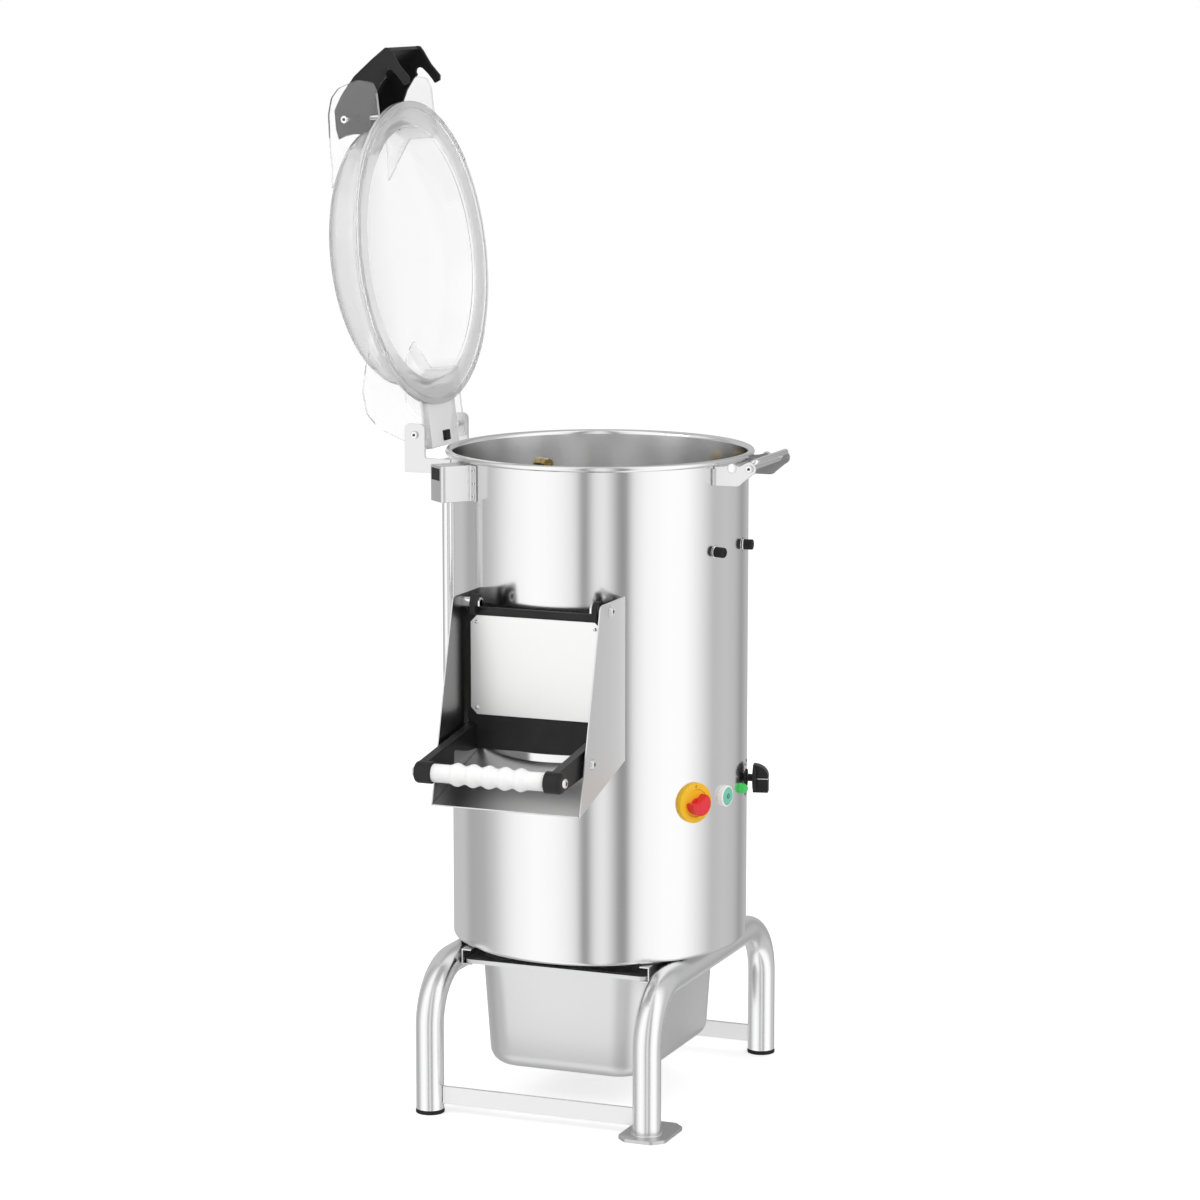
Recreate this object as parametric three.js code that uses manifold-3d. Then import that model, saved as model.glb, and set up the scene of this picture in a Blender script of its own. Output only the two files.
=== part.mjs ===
// Electric potato peeler: a steel drum with an abrasive turntable, on a tube trestle with a waste pan.
// Lengths are in millimetres and angles in degrees. X runs to the latch side, Y to the back, Z up.
// Everything is built around the drum's axis with the floor at zero, and moved at the end so that
// the origin is the middle of the floor area that the whole peeler covers.
// A reach is measured outwards from the drum's wall, an inset inwards from it, a rise upwards and a
// drop downwards from the piece that carries the part.

import * as THREE from 'three';
import { mergeVertices } from 'three/addons/utils/BufferGeometryUtils.js';
import Module from 'manifold-3d';

const wasm = await Module();
wasm.setup();

// Driving sizes

const fit = {
  seat: 0.3,
  running: 1,
  overrun: 20,
  weld: 0.0001,
};

const bolt = {
  headRadius: 7,
  headHeight: 4,
};

const pan = {
  halfWidth: 132.5,
  halfLength: 162.5,
  depth: 150,
  floorGap: 49,
  headroom: 14,
  sideGap: 4.7,
  wall: 1.6,
  heel: 9.6,
  lipWidth: 11,
  lipTurn: 5.5,
  cornerRadius: 45,
  taper: 8,
  runnerSheet: 2,
  runnerLedge: 12,
};

const drum = {
  outerRadius: 200,
  height: 667,
  wall: 2,
  beadRadius: 4,
  footFillet: 6,
  footFlange: 30,
};

const frame = {
  tubeRadius: 18.8,
  legReach: 22,
  bendRadius: 76,
  capHeight: 5,
  capMargin: 0.6,
  railBottom: 14,
  railHeight: 24,
  railSheet: 5,
  plateSheet: 5,
  plateHalfWidth: 33,
  plateFront: 34,
  plateBack: 60,
  plateChamfer: 14,
};

const chamber = {
  floorRise: 239,
  floorSheet: 3,
  spoutInset: 75.5,
  spoutAngle: 60.14,
  spoutRadius: 30,
  spoutWall: 2,
  spoutDrop: 9,
  sealRadius: 24,
  sealHeight: 7,
};

const turntable = {
  rise: 16,
  edgeGap: 10,
  thickness: 9,
  hubRadius: 26,
  waveHeight: 14,
  waveCount: 3,
  ringShares: [0.15, 0.3, 0.45, 0.6, 0.75, 0.9],
  nutRadius: 19.5,
  nutHeight: 7,
};

const drive = {
  shaftRadius: 12.5,
  shaftRise: 29,
  housingRadius: 34,
  housingHeight: 102,
  flangeRadius: 55,
  flangeSheet: 8,
  pulleyHeight: 20,
  pulleyGap: 14,
  motorPulleyRadius: 30,
  grooveDepth: 7,
  beltSheet: 6,
  motorRadius: 58,
  motorChamfer: 9.7,
  motorHeadroom: 30.7,
  motorShaftRadius: 9,
  motorPlaceShare: 0.3,
  bracketSheet: 6,
  bracketFoot: 30,
};

const mouth = {
  rise: 45,
  height: 193,
  lap: 1,
};

const chute = {
  halfWidth: 104.6,
  sheet: 2,
  topReach: 58,
  topRise: 12,
  cornerRadius: 10,
  lipReach: 127,
  lipDrop: 52,
  rootDrop: 6,
};

const door = {
  sideGap: 4.6,
  pivotReach: 22,
  pivotRise: 7,
  sheet: 10,
  footRise: 6,
  barRadius: 7,
  earRadius: 12,
  earSheet: 8,
  armSheet: 12,
  armRise: 40,
  capRadius: 14.5,
  capRound: 4,
  pinRadius: 5,
  stopReach: 87,
  stopRise: 11,
  faceMargin: 5.5,
  faceDrop: 16,
  faceRise: 52,
  faceSheet: 1.5,
  faceChamfer: 9,
};

const grip = {
  reach: 176,
  rise: 3,
  radius: 12,
  endGap: 7.5,
  ridgeHeight: 3.4,
  ridgePitch: 22,
  ridgeCount: 5,
};

// The outlines of the lid and lever are [reach, rise above the flange's underside].
const lid = {
  hingeReach: 40,
  hingeRise: 11,
  openAngle: 97,
  overhang: 6,
  domeInset: 22,
  domeHeight: 90,
  collarHeight: 44,
  flange: 5,
  wall: 4,
  sealHeight: 2.4,
  sealWidth: 9,
  finOffset: 65,
  finSheet: 6,
  finOutline: [[-80, 60], [-61, 74], [-25, 84], [7, 82], [28, 66], [45, 36], [57, 12], [57, 0]],
  tailHalfWidth: 45,
  tailReach: 63,
  tailSheet: 10,
  earOffset: 88,
  earOutline: [[-100, 60], [-73, 73], [-50, 78], [-1, 74], [20, 67], [32, 55], [40, 25], [35, 5], [22, 0]],
};

const lever = {
  pivotInset: 10,
  pivotRise: 50,
  pinRadius: 4,
  halfWidth: 52.5,
  sheet: 5,
  backOutline: [[-70, 72], [-54, 77], [-22, 83], [4, 82], [22, 70], [46, 48], [65, 20], [79, -3]],
  hookOutline: [[78, -8], [72, -12], [53, -21], [36, -33], [29, -32]],
  underOutline: [[36, 6], [22, 18], [0, 30], [-50, 40], [-70, 50]],
  armStartAngle: -64,
  armEndAngle: -48,
  liftAngle: 30,
  liftShares: [0, 0.35, 0.7, 1],
};

const bail = {
  reach: 44,
  drop: 4,
  radius: 4,
  bend: 4.8,
  halfWidth: 60,
  earReach: 14,
  earDrop: 17,
  earRound: 9,
  earOffset: 66.5,
  sheet: 3,
  bandRise: 7,
  bandHeight: 23,
  bandMargin: 3.7,
};

const hinge = {
  earOffset: 72,
  earHalfWidth: 15,
  earRound: 7.5,
  sheet: 3,
  baseDrop: 34,
  shelfHeight: 20,
  pinRadius: 4.5,
};

const safetySwitch = {
  wallAngle: -40,
  rimGap: 10,
  halfWidth: 17,
  height: 48,
  reach: 44,
  sheet: 2,
  flange: 11,
  windowHeight: 12,
  windowMargin: 4,
  conduitRadius: 8,
  conduitReach: 27,
  conduitBend: 16,
  conduitDrop: 16,
};

const water = {
  wallAngle: -135,
  rimGap: 44,
  nozzleRadius: 7,
  nozzleLength: 16,
  tipRadius: 6,
  tipInset: 12,
  tipDrop: 14,
  hexRadius: 11,
  hexHeight: 8,
  pipeRadius: 8,
  pipeReach: 28,
  elbowReach: 22,
  elbowDrop: 34,
};

const mainSwitch = {
  wallAngle: 60.3,
  radius: 27,
  depth: 5,
  chamfer: 1,
  recess: 1.5,
  recessMargin: 1,
  knobRadius: 17,
  knobSheet: 6,
  knobEdge: 5,
  knobChamfer: 2,
  gripHalfWidth: 5,
  gripHalfLength: 14.6,
  gripHeight: 16,
  gripAngle: 50,
};

const startButton = {
  wallAngle: 77.7,
  bezelRadius: 14.5,
  bezelEdge: 2,
  bezelChamfer: 1.5,
  depth: 7,
  capRadius: 9.6,
  capRound: 1,
  travel: 3,
};

const runLamp = {
  wallAngle: 92.9,
  radius: 7.5,
  edge: 3,
  domeHeight: 4.5,
};

const timer = {
  wallAngle: 104,
  radius: 19,
  dialSheet: 2,
  neckRadius: 5,
  skirtRise: 5.2,
  skirtSheet: 5,
  skirtEdge: 4,
  skirtChamfer: 1,
  barHalfWidth: 8.55,
  barHeight: 20.5,
  barShoulder: 2.85,
};

const controls = {
  drop: 26,
  timerDrop: 19,
  root: 3,
};

const stud = {
  middleAngle: 83.5,
  spreadAngle: 11.5,
  rimGap: 123,
  radius: 7.5,
  footRadius: 8.25,
  footHeight: 1,
  length: 13,
  chamfer: 1.5,
};

// Sizes that follow from the driving ones

const panRim = pan.floorGap + pan.depth;
const drumFoot = panRim + pan.headroom;
const drumRim = drumFoot + drum.height;
const drumInner = drum.outerRadius - drum.wall;
const wallSeat = drum.outerRadius + fit.seat;

const legX = pan.halfWidth + pan.sideGap + frame.tubeRadius;
const legY = drum.outerRadius + frame.legReach;

const floorHeight = drumFoot + chamber.floorRise;
const floorTop = floorHeight + chamber.floorSheet;
const discHeight = floorHeight + turntable.rise;
const discTop = discHeight + turntable.thickness;

const shaftBore = drive.shaftRadius + fit.seat;
const shaftBottom = drumFoot + drive.shaftRise;
const pulleyLow = shaftBottom + fit.running;
const motorLow = pulleyLow + drive.pulleyHeight + drive.bracketSheet + 2 * fit.running;
const motorNearest = drive.housingRadius + drive.bracketSheet + 2 * fit.running + drive.motorRadius;
const motorFarthest = drumInner - drive.motorRadius;
const motorX = motorNearest + (motorFarthest - motorNearest) * drive.motorPlaceShare;
const pulleyRadius = motorX - drive.motorPulleyRadius - drive.pulleyGap;

const mouthBottom = floorHeight + mouth.rise;
const mouthTop = mouthBottom + mouth.height;
const doorHalf = chute.halfWidth - chute.sheet - door.sideGap;
const doorFront = -drum.outerRadius - door.pivotReach;
const pivotHeight = mouthTop + door.pivotRise;
const stopY = -drum.outerRadius - door.stopReach;
const stopHeight = mouthBottom + door.stopRise;
const gripY = -drum.outerRadius - grip.reach;
const gripHeight = mouthBottom + grip.rise;
const gripHalf = doorHalf - door.armSheet - grip.endGap;
const faceTop = pivotHeight - door.faceDrop;

const lidSeat = drumRim + 2 * fit.seat + lid.sealHeight;
const lidOuter = drum.outerRadius + lid.overhang;
const lidInner = drum.outerRadius - lid.domeInset;
const hingeX = -drum.outerRadius - lid.hingeReach;
const hingeHeight = lidSeat + lid.hingeRise;
const leverX = drum.outerRadius - lever.pivotInset;
const leverHeight = lidSeat + lever.pivotRise;
const bailX = drum.outerRadius + bail.reach;
const bailHeight = lidSeat - bail.drop;
const catchX = drum.outerRadius + bail.earReach;
const catchHeight = bailHeight - bail.earDrop;

// Materials

const finish = (color, roughness, metalness, extra = {}) =>
  new THREE.MeshStandardMaterial({ color, roughness, metalness, ...extra });

const paint = {
  brushedSteel: finish(0xc9cbcc, 0.32, 1),
  polishedSteel: finish(0xd8dadb, 0.16, 1),
  sheetSteel: finish(0xb9bbbd, 0.38, 1),
  plateSteel: finish(0xe6e7e6, 0.5, 0.6),
  blackPlastic: finish(0x1b1b1c, 0.42, 0),
  whitePlastic: finish(0xf2f2ee, 0.35, 0),
  yellowPlastic: finish(0xf5b52a, 0.4, 0),
  redPlastic: finish(0xd2303f, 0.35, 0),
  greenPlastic: finish(0x2f9c84, 0.4, 0),
  lampGreen: finish(0x35b45a, 0.2, 0),
  clearPlastic: finish(0xf4f6f7, 0.08, 0, { transparent: true, opacity: 0.3 }),
  brass: finish(0xc79a3c, 0.3, 1),
  rubber: finish(0x161616, 0.8, 0),
  castIron: finish(0x4a4e52, 0.6, 0.7),
  abrasive: finish(0x3a3835, 0.95, 0),
};

// Geometry helpers

const quarterTurn = Math.PI / 2;
const radians = (degrees) => degrees * Math.PI / 180;
const degrees = (angle) => angle * 180 / Math.PI;
const roundSides = 20;
const boltSides = 12;
const tubeSides = 16;
const dialSides = 24;
const hexSides = 6;
const wallSides = 48;
const lidSides = 36;
const discSides = 48;
const gripSides = 12;
const beltSteps = 24;
const panSteps = 6;

// The middle of a facet lies nearer to the axis than its edges, by this share.
const facetShare = Math.cos(Math.PI / wallSides);

const vector = (x, y, z) => new THREE.Vector3(x, y, z);

// Turns a closed three.js mesh into a solid that can be joined and cut.
function solid(geometry) {
  const bare = geometry.clone();
  bare.deleteAttribute('normal');
  bare.deleteAttribute('uv');
  const merged = mergeVertices(bare, fit.weld);
  return new wasm.Manifold(new wasm.Mesh({
    numProp: 3,
    vertProperties: new Float32Array(merged.attributes.position.array),
    triVerts: new Uint32Array(merged.index.array),
  }));
}

function geometryOf(body) {
  const mesh = body.getMesh();
  const geometry = new THREE.BufferGeometry();
  geometry.setAttribute('position', new THREE.BufferAttribute(new Float32Array(mesh.vertProperties), 3));
  geometry.setIndex(new THREE.BufferAttribute(new Uint32Array(mesh.triVerts), 1));
  geometry.computeVertexNormals();
  return geometry;
}

const join = (...parts) => geometryOf(parts.map(solid).reduce((sum, next) => sum.add(next)));

const cut = (part, ...tools) =>
  geometryOf(tools.map(solid).reduce((rest, tool) => rest.subtract(tool), solid(part)));

const keep = (part, tool) => geometryOf(solid(part).intersect(solid(tool)));

// A box between two corners.
function block(low, high) {
  const size = high.map((value, i) => value - low[i]);
  const box = new THREE.BoxGeometry(...size);
  return box.translate(...low.map((value, i) => value + size[i] / 2));
}

// A ring or round solid about the Z axis, from a closed profile of [radius, height] points.
function turned(profile, sides = roundSides) {
  const closed = [...profile, profile[0]].map(([r, z]) => new THREE.Vector2(r, z));
  return new THREE.LatheGeometry(closed, sides).rotateX(quarterTurn);
}

function disc(radius, low, high, sides = roundSides) {
  const cylinder = new THREE.CylinderGeometry(radius, radius, high - low, sides);
  return cylinder.rotateX(quarterTurn).translate(0, 0, (low + high) / 2);
}

const ring = (inner, outer, low, high, sides = roundSides) =>
  turned([[inner, low], [outer, low], [outer, high], [inner, high]], sides);

// Points of an ellipse about a centre, both ends included.
function ellipse(cx, cy, rx, ry, from, to, steps) {
  return Array.from({ length: steps + 1 }, (_, i) => {
    const angle = radians(from + (to - from) * i / steps);
    return [cx + rx * Math.cos(angle), cy + ry * Math.sin(angle)];
  });
}

const arc = (cx, cy, radius, from, to, steps = 4) => ellipse(cx, cy, radius, radius, from, to, steps);

const shapeOf = (points) => new THREE.Shape(points.map(([x, y]) => new THREE.Vector2(x, y)));

function upright(points, low, high) {
  const geometry = new THREE.ExtrudeGeometry(shapeOf(points), { depth: high - low, bevelEnabled: false });
  return geometry.translate(0, 0, low);
}

// A plate whose outline is drawn in Y and Z, from one X to another.
const plateAcrossX = (points, low, high) =>
  upright(points, low, high).rotateX(quarterTurn).rotateZ(quarterTurn);

// A plate whose outline is drawn in X and Z, from one Y to another.
const plateAcrossY = (points, low, high) => upright(points, -high, -low).rotateX(quarterTurn);

const barAlongX = (radius, low, high, y, z, sides = boltSides) =>
  disc(radius, low, high, sides).rotateY(quarterTurn).translate(0, y, z);

const barAlongY = (radius, low, high, x, z, sides = boltSides) =>
  disc(radius, -high, -low, sides).rotateX(quarterTurn).translate(x, 0, z);

// The two ends of a piece that is mirrored on the machine's middle plane, in rising order.
const sideSpan = (side, inner, outer) => (side < 0 ? [-outer, -inner] : [inner, outer]);

const midSpan = (side, middle, thickness) => sideSpan(side, middle - thickness / 2, middle + thickness / 2);

// Bolt heads at both ends of a pin, where along(radius, low, high) makes a bar on its axis.
const twoHeads = (along, reach) =>
  [-1, 1].map((side) => along(bolt.headRadius, ...sideSpan(side, reach, reach + bolt.headHeight)));

const bothSides = Object.entries({ left: -1, right: 1 });

const bothEnds = Object.entries({ front: -1, back: 1 });

function chamferedBox(left, right, low, high, trim) {
  return [
    [left, low + trim], [left + trim, low], [right - trim, low], [right, low + trim],
    [right, high - trim], [right - trim, high], [left + trim, high], [left, high - trim],
  ];
}

function roundedRectangle(w, l, r, steps = 4) {
  return [
    ...arc(w - r, l - r, r, 0, 90, steps),
    ...arc(-w + r, l - r, r, 90, 180, steps),
    ...arc(-w + r, -l + r, r, 180, 270, steps),
    ...arc(w - r, -l + r, r, 270, 360, steps),
  ];
}

// A closed solid through rings of points that all have the same number of points.
function loft(rings) {
  const count = rings[0].length;
  const faces = [];
  for (let k = 0; k < rings.length - 1; k += 1) {
    for (let i = 0; i < count; i += 1) {
      const [a, b] = [k * count + i, k * count + (i + 1) % count];
      faces.push(a, b, b + count, a, b + count, a + count);
    }
  }
  const last = (rings.length - 1) * count;
  for (let i = 1; i < count - 1; i += 1) {
    faces.push(0, i + 1, i, last, last + i, last + i + 1);
  }
  const geometry = new THREE.BufferGeometry();
  geometry.setAttribute('position', new THREE.BufferAttribute(new Float32Array(rings.flat(2)), 3));
  geometry.setIndex(faces);
  return geometry;
}

const layer = (outline, z) => outline.map(([x, y]) => [x, y, z]);

// Places and headings along one rounded corner of a path.
function cornerStations(corner, into, out, bend, steps) {
  const turn = into.angleTo(out);
  const axis = into.clone().cross(out).normalize();
  const start = corner.clone().addScaledVector(into, -bend * Math.tan(turn / 2));
  const centre = start.clone().addScaledVector(axis.clone().cross(into), bend);
  return Array.from({ length: steps + 1 }, (_, k) => ({
    place: start.clone().sub(centre).applyAxisAngle(axis, turn * k / steps).add(centre),
    heading: into.clone().applyAxisAngle(axis, turn * k / steps),
  }));
}

// A round tube or rod along straight runs with rounded corners, all in one plane.
function rod(points, bend, radius, steps = 5, sides = tubeSides) {
  const headings = points.slice(1).map((point, i) => point.clone().sub(points[i]).normalize());
  const across = headings[0].clone().cross(headings[1]).normalize();
  const corners = points.slice(1, -1).flatMap((corner, i) =>
    cornerStations(corner, headings[i], headings[i + 1], bend, steps));
  const stations = [
    { place: points[0], heading: headings[0] },
    ...corners,
    { place: points.at(-1), heading: headings.at(-1) },
  ];
  return loft(stations.map(({ place, heading }) => Array.from({ length: sides }, (_, j) => {
    const angle = 2 * Math.PI * j / sides;
    const side = heading.clone().cross(across);
    const point = place.clone().addScaledVector(across, radius * Math.cos(angle));
    return point.addScaledVector(side, radius * Math.sin(angle)).toArray();
  })));
}

// Turns a piece built along +X at the drum's axis so that it stands on the wall at an angle
// measured from the front towards the latch side.
const onWall = (geometry, wallAngle) => geometry.rotateZ(radians(wallAngle - 90));

const wallCutter = () => disc(wallSeat, 0, hingeHeight, wallSides * 2);

// A round piece about an X axis that starts at the wall, from [radius, distance from the wall] points.
const wallTurned = (profile, sides = roundSides) =>
  turned(profile.map(([r, d]) => [r, wallSeat + d]), sides).rotateY(quarterTurn);

const machine = new THREE.Group();

function add(name, geometry, material, parent = machine) {
  const mesh = new THREE.Mesh(geometry, material);
  mesh.name = name;
  parent.add(mesh);
  return mesh;
}

// Drum

function drumProfile() {
  const { outerRadius: outer, wall, beadRadius: bead, footFillet: fillet, footFlange: flange } = drum;
  const beadX = outer + bead;
  const beadHeight = drumRim - bead;
  const filletHeight = drumFoot + fillet;
  return [
    [outer - fillet - flange, drumFoot],
    ...arc(outer - fillet, filletHeight, fillet, -90, 0, 2),
    [outer, beadHeight - bead],
    ...arc(beadX, beadHeight, bead, -90, 90),
    ...arc(beadX, beadHeight - wall, bead + wall, 90, 180, 2).slice(1),
    ...arc(outer - fillet, filletHeight, fillet - wall, 0, -90, 2),
    [outer - fillet - flange, drumFoot + wall],
  ];
}

function buildDrum() {
  const half = doorHalf - mouth.lap;
  const opening = block([-half, -drum.outerRadius - fit.overrun, mouthBottom], [half, 0, mouthTop]);
  add('drum_shell', cut(turned(drumProfile(), wallSides), opening), paint.brushedSteel);

  const seat = drumFoot + drum.wall + fit.seat;
  const base = disc(drum.outerRadius - drum.footFillet, seat, seat + drum.wall, wallSides);
  const hole = atSpout(disc(chamber.spoutRadius + fit.running, drumFoot, seat + fit.overrun));
  add('base_plate', cut(base, hole), paint.sheetSteel);
}

// Peeling chamber: its floor, waste spout, bearing and seal

function atSpout(geometry) {
  const reach = drum.outerRadius - chamber.spoutInset;
  const angle = radians(chamber.spoutAngle);
  return geometry.translate(reach * Math.cos(angle), reach * Math.sin(angle), 0);
}

function buildChamber() {
  const floor = disc(drumInner - fit.seat, floorHeight, floorTop, wallSides);
  const shaftHole = disc(shaftBore, 0, floorTop + fit.overrun);
  const spoutHole = atSpout(disc(chamber.spoutRadius, 0, floorTop + fit.overrun));
  add('chamber_floor', cut(floor, shaftHole, spoutHole), paint.sheetSteel);

  const outer = chamber.spoutRadius - fit.seat;
  const spout = ring(outer - chamber.spoutWall, outer, drumFoot - chamber.spoutDrop, floorTop);
  add('waste_spout', atSpout(spout), paint.sheetSteel);

  const housingTop = floorHeight - fit.seat;
  const flangeLow = housingTop - drive.flangeSheet;
  add('bearing_housing', turned([
    [shaftBore, floorHeight - drive.housingHeight],
    [drive.housingRadius, floorHeight - drive.housingHeight],
    [drive.housingRadius, flangeLow],
    [drive.flangeRadius, flangeLow],
    [drive.flangeRadius, housingTop],
    [shaftBore, housingTop],
  ]), paint.castIron);

  const sealLow = floorTop + fit.seat;
  const sealTop = sealLow + chamber.sealHeight;
  add('shaft_seal', turned([
    [shaftBore, sealLow], [chamber.sealRadius, sealLow],
    [(chamber.sealRadius + shaftBore) / 2, sealTop], [shaftBore, sealTop],
  ]), paint.rubber);
}

// Turntable: the abrasive disc rises in waves that turn the potatoes over.

function buildTurntable() {
  add('drive_shaft', disc(drive.shaftRadius, shaftBottom, discTop), paint.polishedSteel);
  add('driven_pulley', pulley(pulleyRadius, shaftBore), paint.castIron);
  add('abrasive_disc', raiseWaves(flatDisc()), paint.abrasive);

  const nutLow = discTop + fit.seat;
  const nutTop = nutLow + turntable.nutHeight;
  const hexagon = disc(turntable.nutRadius, nutLow, nutTop, hexSides);
  const cap = turned([
    [0, nutLow], [drive.shaftRadius, nutLow], ...arc(0, nutTop, drive.shaftRadius, 0, 90),
  ], boltSides);
  add('disc_nut', join(hexagon, cap), paint.polishedSteel);
}

const discRadius = drum.outerRadius - turntable.edgeGap;

function flatDisc() {
  const { hubRadius: hub, ringShares } = turntable;
  const rings = ringShares.toReversed().map((share) => [hub + (discRadius - hub) * share, discTop]);
  return turned([
    [shaftBore, discHeight], [discRadius, discHeight], [discRadius, discTop],
    ...rings, [hub, discTop], [shaftBore, discTop],
  ], discSides);
}

function raiseWaves(table) {
  const { hubRadius: hub, waveCount, waveHeight } = turntable;
  const place = table.attributes.position;
  for (let i = 0; i < place.count; i += 1) {
    const [x, y, z] = [place.getX(i), place.getY(i), place.getZ(i)];
    const reachShare = THREE.MathUtils.clamp((Math.hypot(x, y) - hub) / (discRadius - hub), 0, 1);
    const crestShare = ((1 + Math.cos(waveCount * Math.atan2(y, x))) / 2) ** 2;
    const onTop = z > discTop - fit.seat;
    if (onTop) place.setZ(i, z + waveHeight * crestShare * Math.sin(Math.PI * reachShare));
  }
  return table;
}

// Drive under the chamber

function pulley(radius, bore) {
  const { grooveDepth: groove, pulleyHeight: height } = drive;
  const top = pulleyLow + height;
  const land = height / 2 - groove;
  return turned([
    [bore, pulleyLow], [radius, pulleyLow], [radius, pulleyLow + land],
    [radius - groove, pulleyLow + height / 2 - land], [radius - groove, pulleyLow + height / 2 + land],
    [radius, top - land], [radius, top], [bore, top],
  ]);
}

const atMotor = (geometry) => geometry.translate(-motorX, 0, 0);

function buildMotor() {
  const { motorRadius: radius, motorChamfer: trim, motorShaftRadius: shaft } = drive;
  const low = motorLow + fit.seat;
  const top = floorHeight - drive.motorHeadroom;
  add('motor', atMotor(turned([
    [0, low], [radius - trim, low], [radius, low + trim],
    [radius, top - trim], [radius - trim, top], [0, top],
  ])), paint.castIron);
  add('motor_shaft', atMotor(disc(shaft, shaftBottom, motorLow)), paint.polishedSteel);
  add('motor_pulley', atMotor(pulley(drive.motorPulleyRadius, shaft + fit.seat)), paint.castIron);
  buildMotorBracket();
  buildBelt();
}

// The bracket hangs from the chamber floor between motor and bearing, and its shelf carries the motor.
function buildMotorBracket() {
  const { motorRadius: half, bracketSheet: sheet, flangeSheet } = drive;
  const top = floorHeight - fit.seat;
  const shelfLow = motorLow - sheet;
  const shelfEnd = Math.sqrt(drumInner ** 2 - half ** 2) - fit.running;
  const web = -motorX + half + fit.running;
  const shelf = block([-shelfEnd, -half, shelfLow], [web + sheet, half, motorLow]);
  const hanger = block([web, -half, shelfLow], [web + sheet, half, top]);
  const foot = block([web - drive.bracketFoot, -half, top - sheet], [web + sheet, half, top]);
  const shaftHole = atMotor(disc(drive.motorShaftRadius + fit.running, 0, top));
  const flangeGap = disc(drive.flangeRadius + fit.running, top - 2 * flangeSheet, top + fit.overrun);
  add('motor_bracket', cut(join(shelf, hanger, foot), shaftHole, flangeGap), paint.sheetSteel);
}

// The belt lies round both grooves: two arcs joined by the outer tangents.
function beltOutline(thickness) {
  const large = pulleyRadius - drive.grooveDepth + fit.seat + thickness;
  const small = drive.motorPulleyRadius - drive.grooveDepth + fit.seat + thickness;
  const lean = degrees(Math.asin((large - small) / motorX));
  return [
    ...arc(0, 0, large, -90 - lean, 90 + lean, beltSteps),
    ...arc(-motorX, 0, small, 90 + lean, 270 - lean, beltSteps / 2),
  ];
}

function buildBelt() {
  const middle = pulleyLow + drive.pulleyHeight / 2;
  const half = drive.pulleyHeight / 2 - drive.grooveDepth - fit.seat;
  const loop = shapeOf(beltOutline(drive.beltSheet));
  loop.holes.push(new THREE.Path(beltOutline(0).map(([x, y]) => new THREE.Vector2(x, y))));
  const belt = new THREE.ExtrudeGeometry(loop, { depth: 2 * half, bevelEnabled: false });
  add('drive_belt', belt.translate(0, 0, middle - half), paint.rubber);
}

// Trestle

function buildFrame() {
  const onCap = frame.capHeight + fit.seat;
  const onPlate = frame.plateSheet + fit.seat;
  const top = drumFoot - fit.seat - frame.tubeRadius;
  bothSides.forEach(([name, side]) => {
    const x = side * legX;
    const frontFoot = side < 0 ? onCap : onPlate;
    const corners = [[-legY, frontFoot], [-legY, top], [legY, top], [legY, onCap]];
    const path = corners.map(([y, z]) => vector(x, y, z));
    add(`frame_arch_${name}`, rod(path, frame.bendRadius, frame.tubeRadius, 6), paint.polishedSteel);
  });
  const feet = { front_left: [-legX, -legY], back_left: [-legX, legY], back_right: [legX, legY] };
  Object.entries(feet).forEach(([name, [x, y]]) => {
    const cap = disc(frame.tubeRadius + frame.capMargin, 0, frame.capHeight);
    add(`foot_cap_${name}`, cap.translate(x, y, 0), paint.rubber);
  });
  const { plateHalfWidth: half, plateFront, plateBack, plateChamfer } = frame;
  const plate = upright(chamferedBox(-half, half, -plateFront, plateBack, plateChamfer), 0, frame.plateSheet);
  add('anchor_plate', plate.translate(legX, -legY, 0), paint.polishedSteel);
  buildRails();
}

function buildRails() {
  const reach = legX - frame.tubeRadius - fit.seat;
  const { railSheet: sheet, railBottom: low, railHeight: height } = frame;
  bothEnds.forEach(([name, side]) => {
    const y = side * legY;
    const rail = block([-reach, y - sheet / 2, low], [reach, y + sheet / 2, low + height]);
    add(`floor_rail_${name}`, rail, paint.polishedSteel);
  });
}

// Waste pan and its runners

function panOutline(inset, taper) {
  const half = pan.halfWidth - pan.lipWidth - taper - inset;
  const reach = pan.halfLength - pan.lipWidth - taper - inset;
  return roundedRectangle(half, reach, pan.cornerRadius - inset, panSteps);
}

function buildPan() {
  const { wall, heel, taper, lipWidth: lip, lipTurn, halfWidth: w, halfLength: l } = pan;
  const bottom = panRim - pan.depth;
  const body = loft([
    layer(panOutline(heel, taper), bottom),
    layer(panOutline(0, taper), bottom + heel),
    layer(panOutline(0, 0), panRim),
  ]);
  const hollow = loft([
    layer(panOutline(heel, taper), bottom + wall),
    layer(panOutline(wall, taper), bottom + heel),
    layer(panOutline(wall, 0), panRim),
    layer(panOutline(wall, 0), panRim + fit.overrun),
  ]);
  const brim = upright(roundedRectangle(w, l, lip), panRim - lipTurn, panRim);
  const underBrim = upright(roundedRectangle(w - wall, l - wall, lip - wall), panRim - lip, panRim - wall);
  add('waste_pan', cut(join(body, cut(brim, underBrim)), hollow), paint.sheetSteel);
  buildRunners();
}

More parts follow.
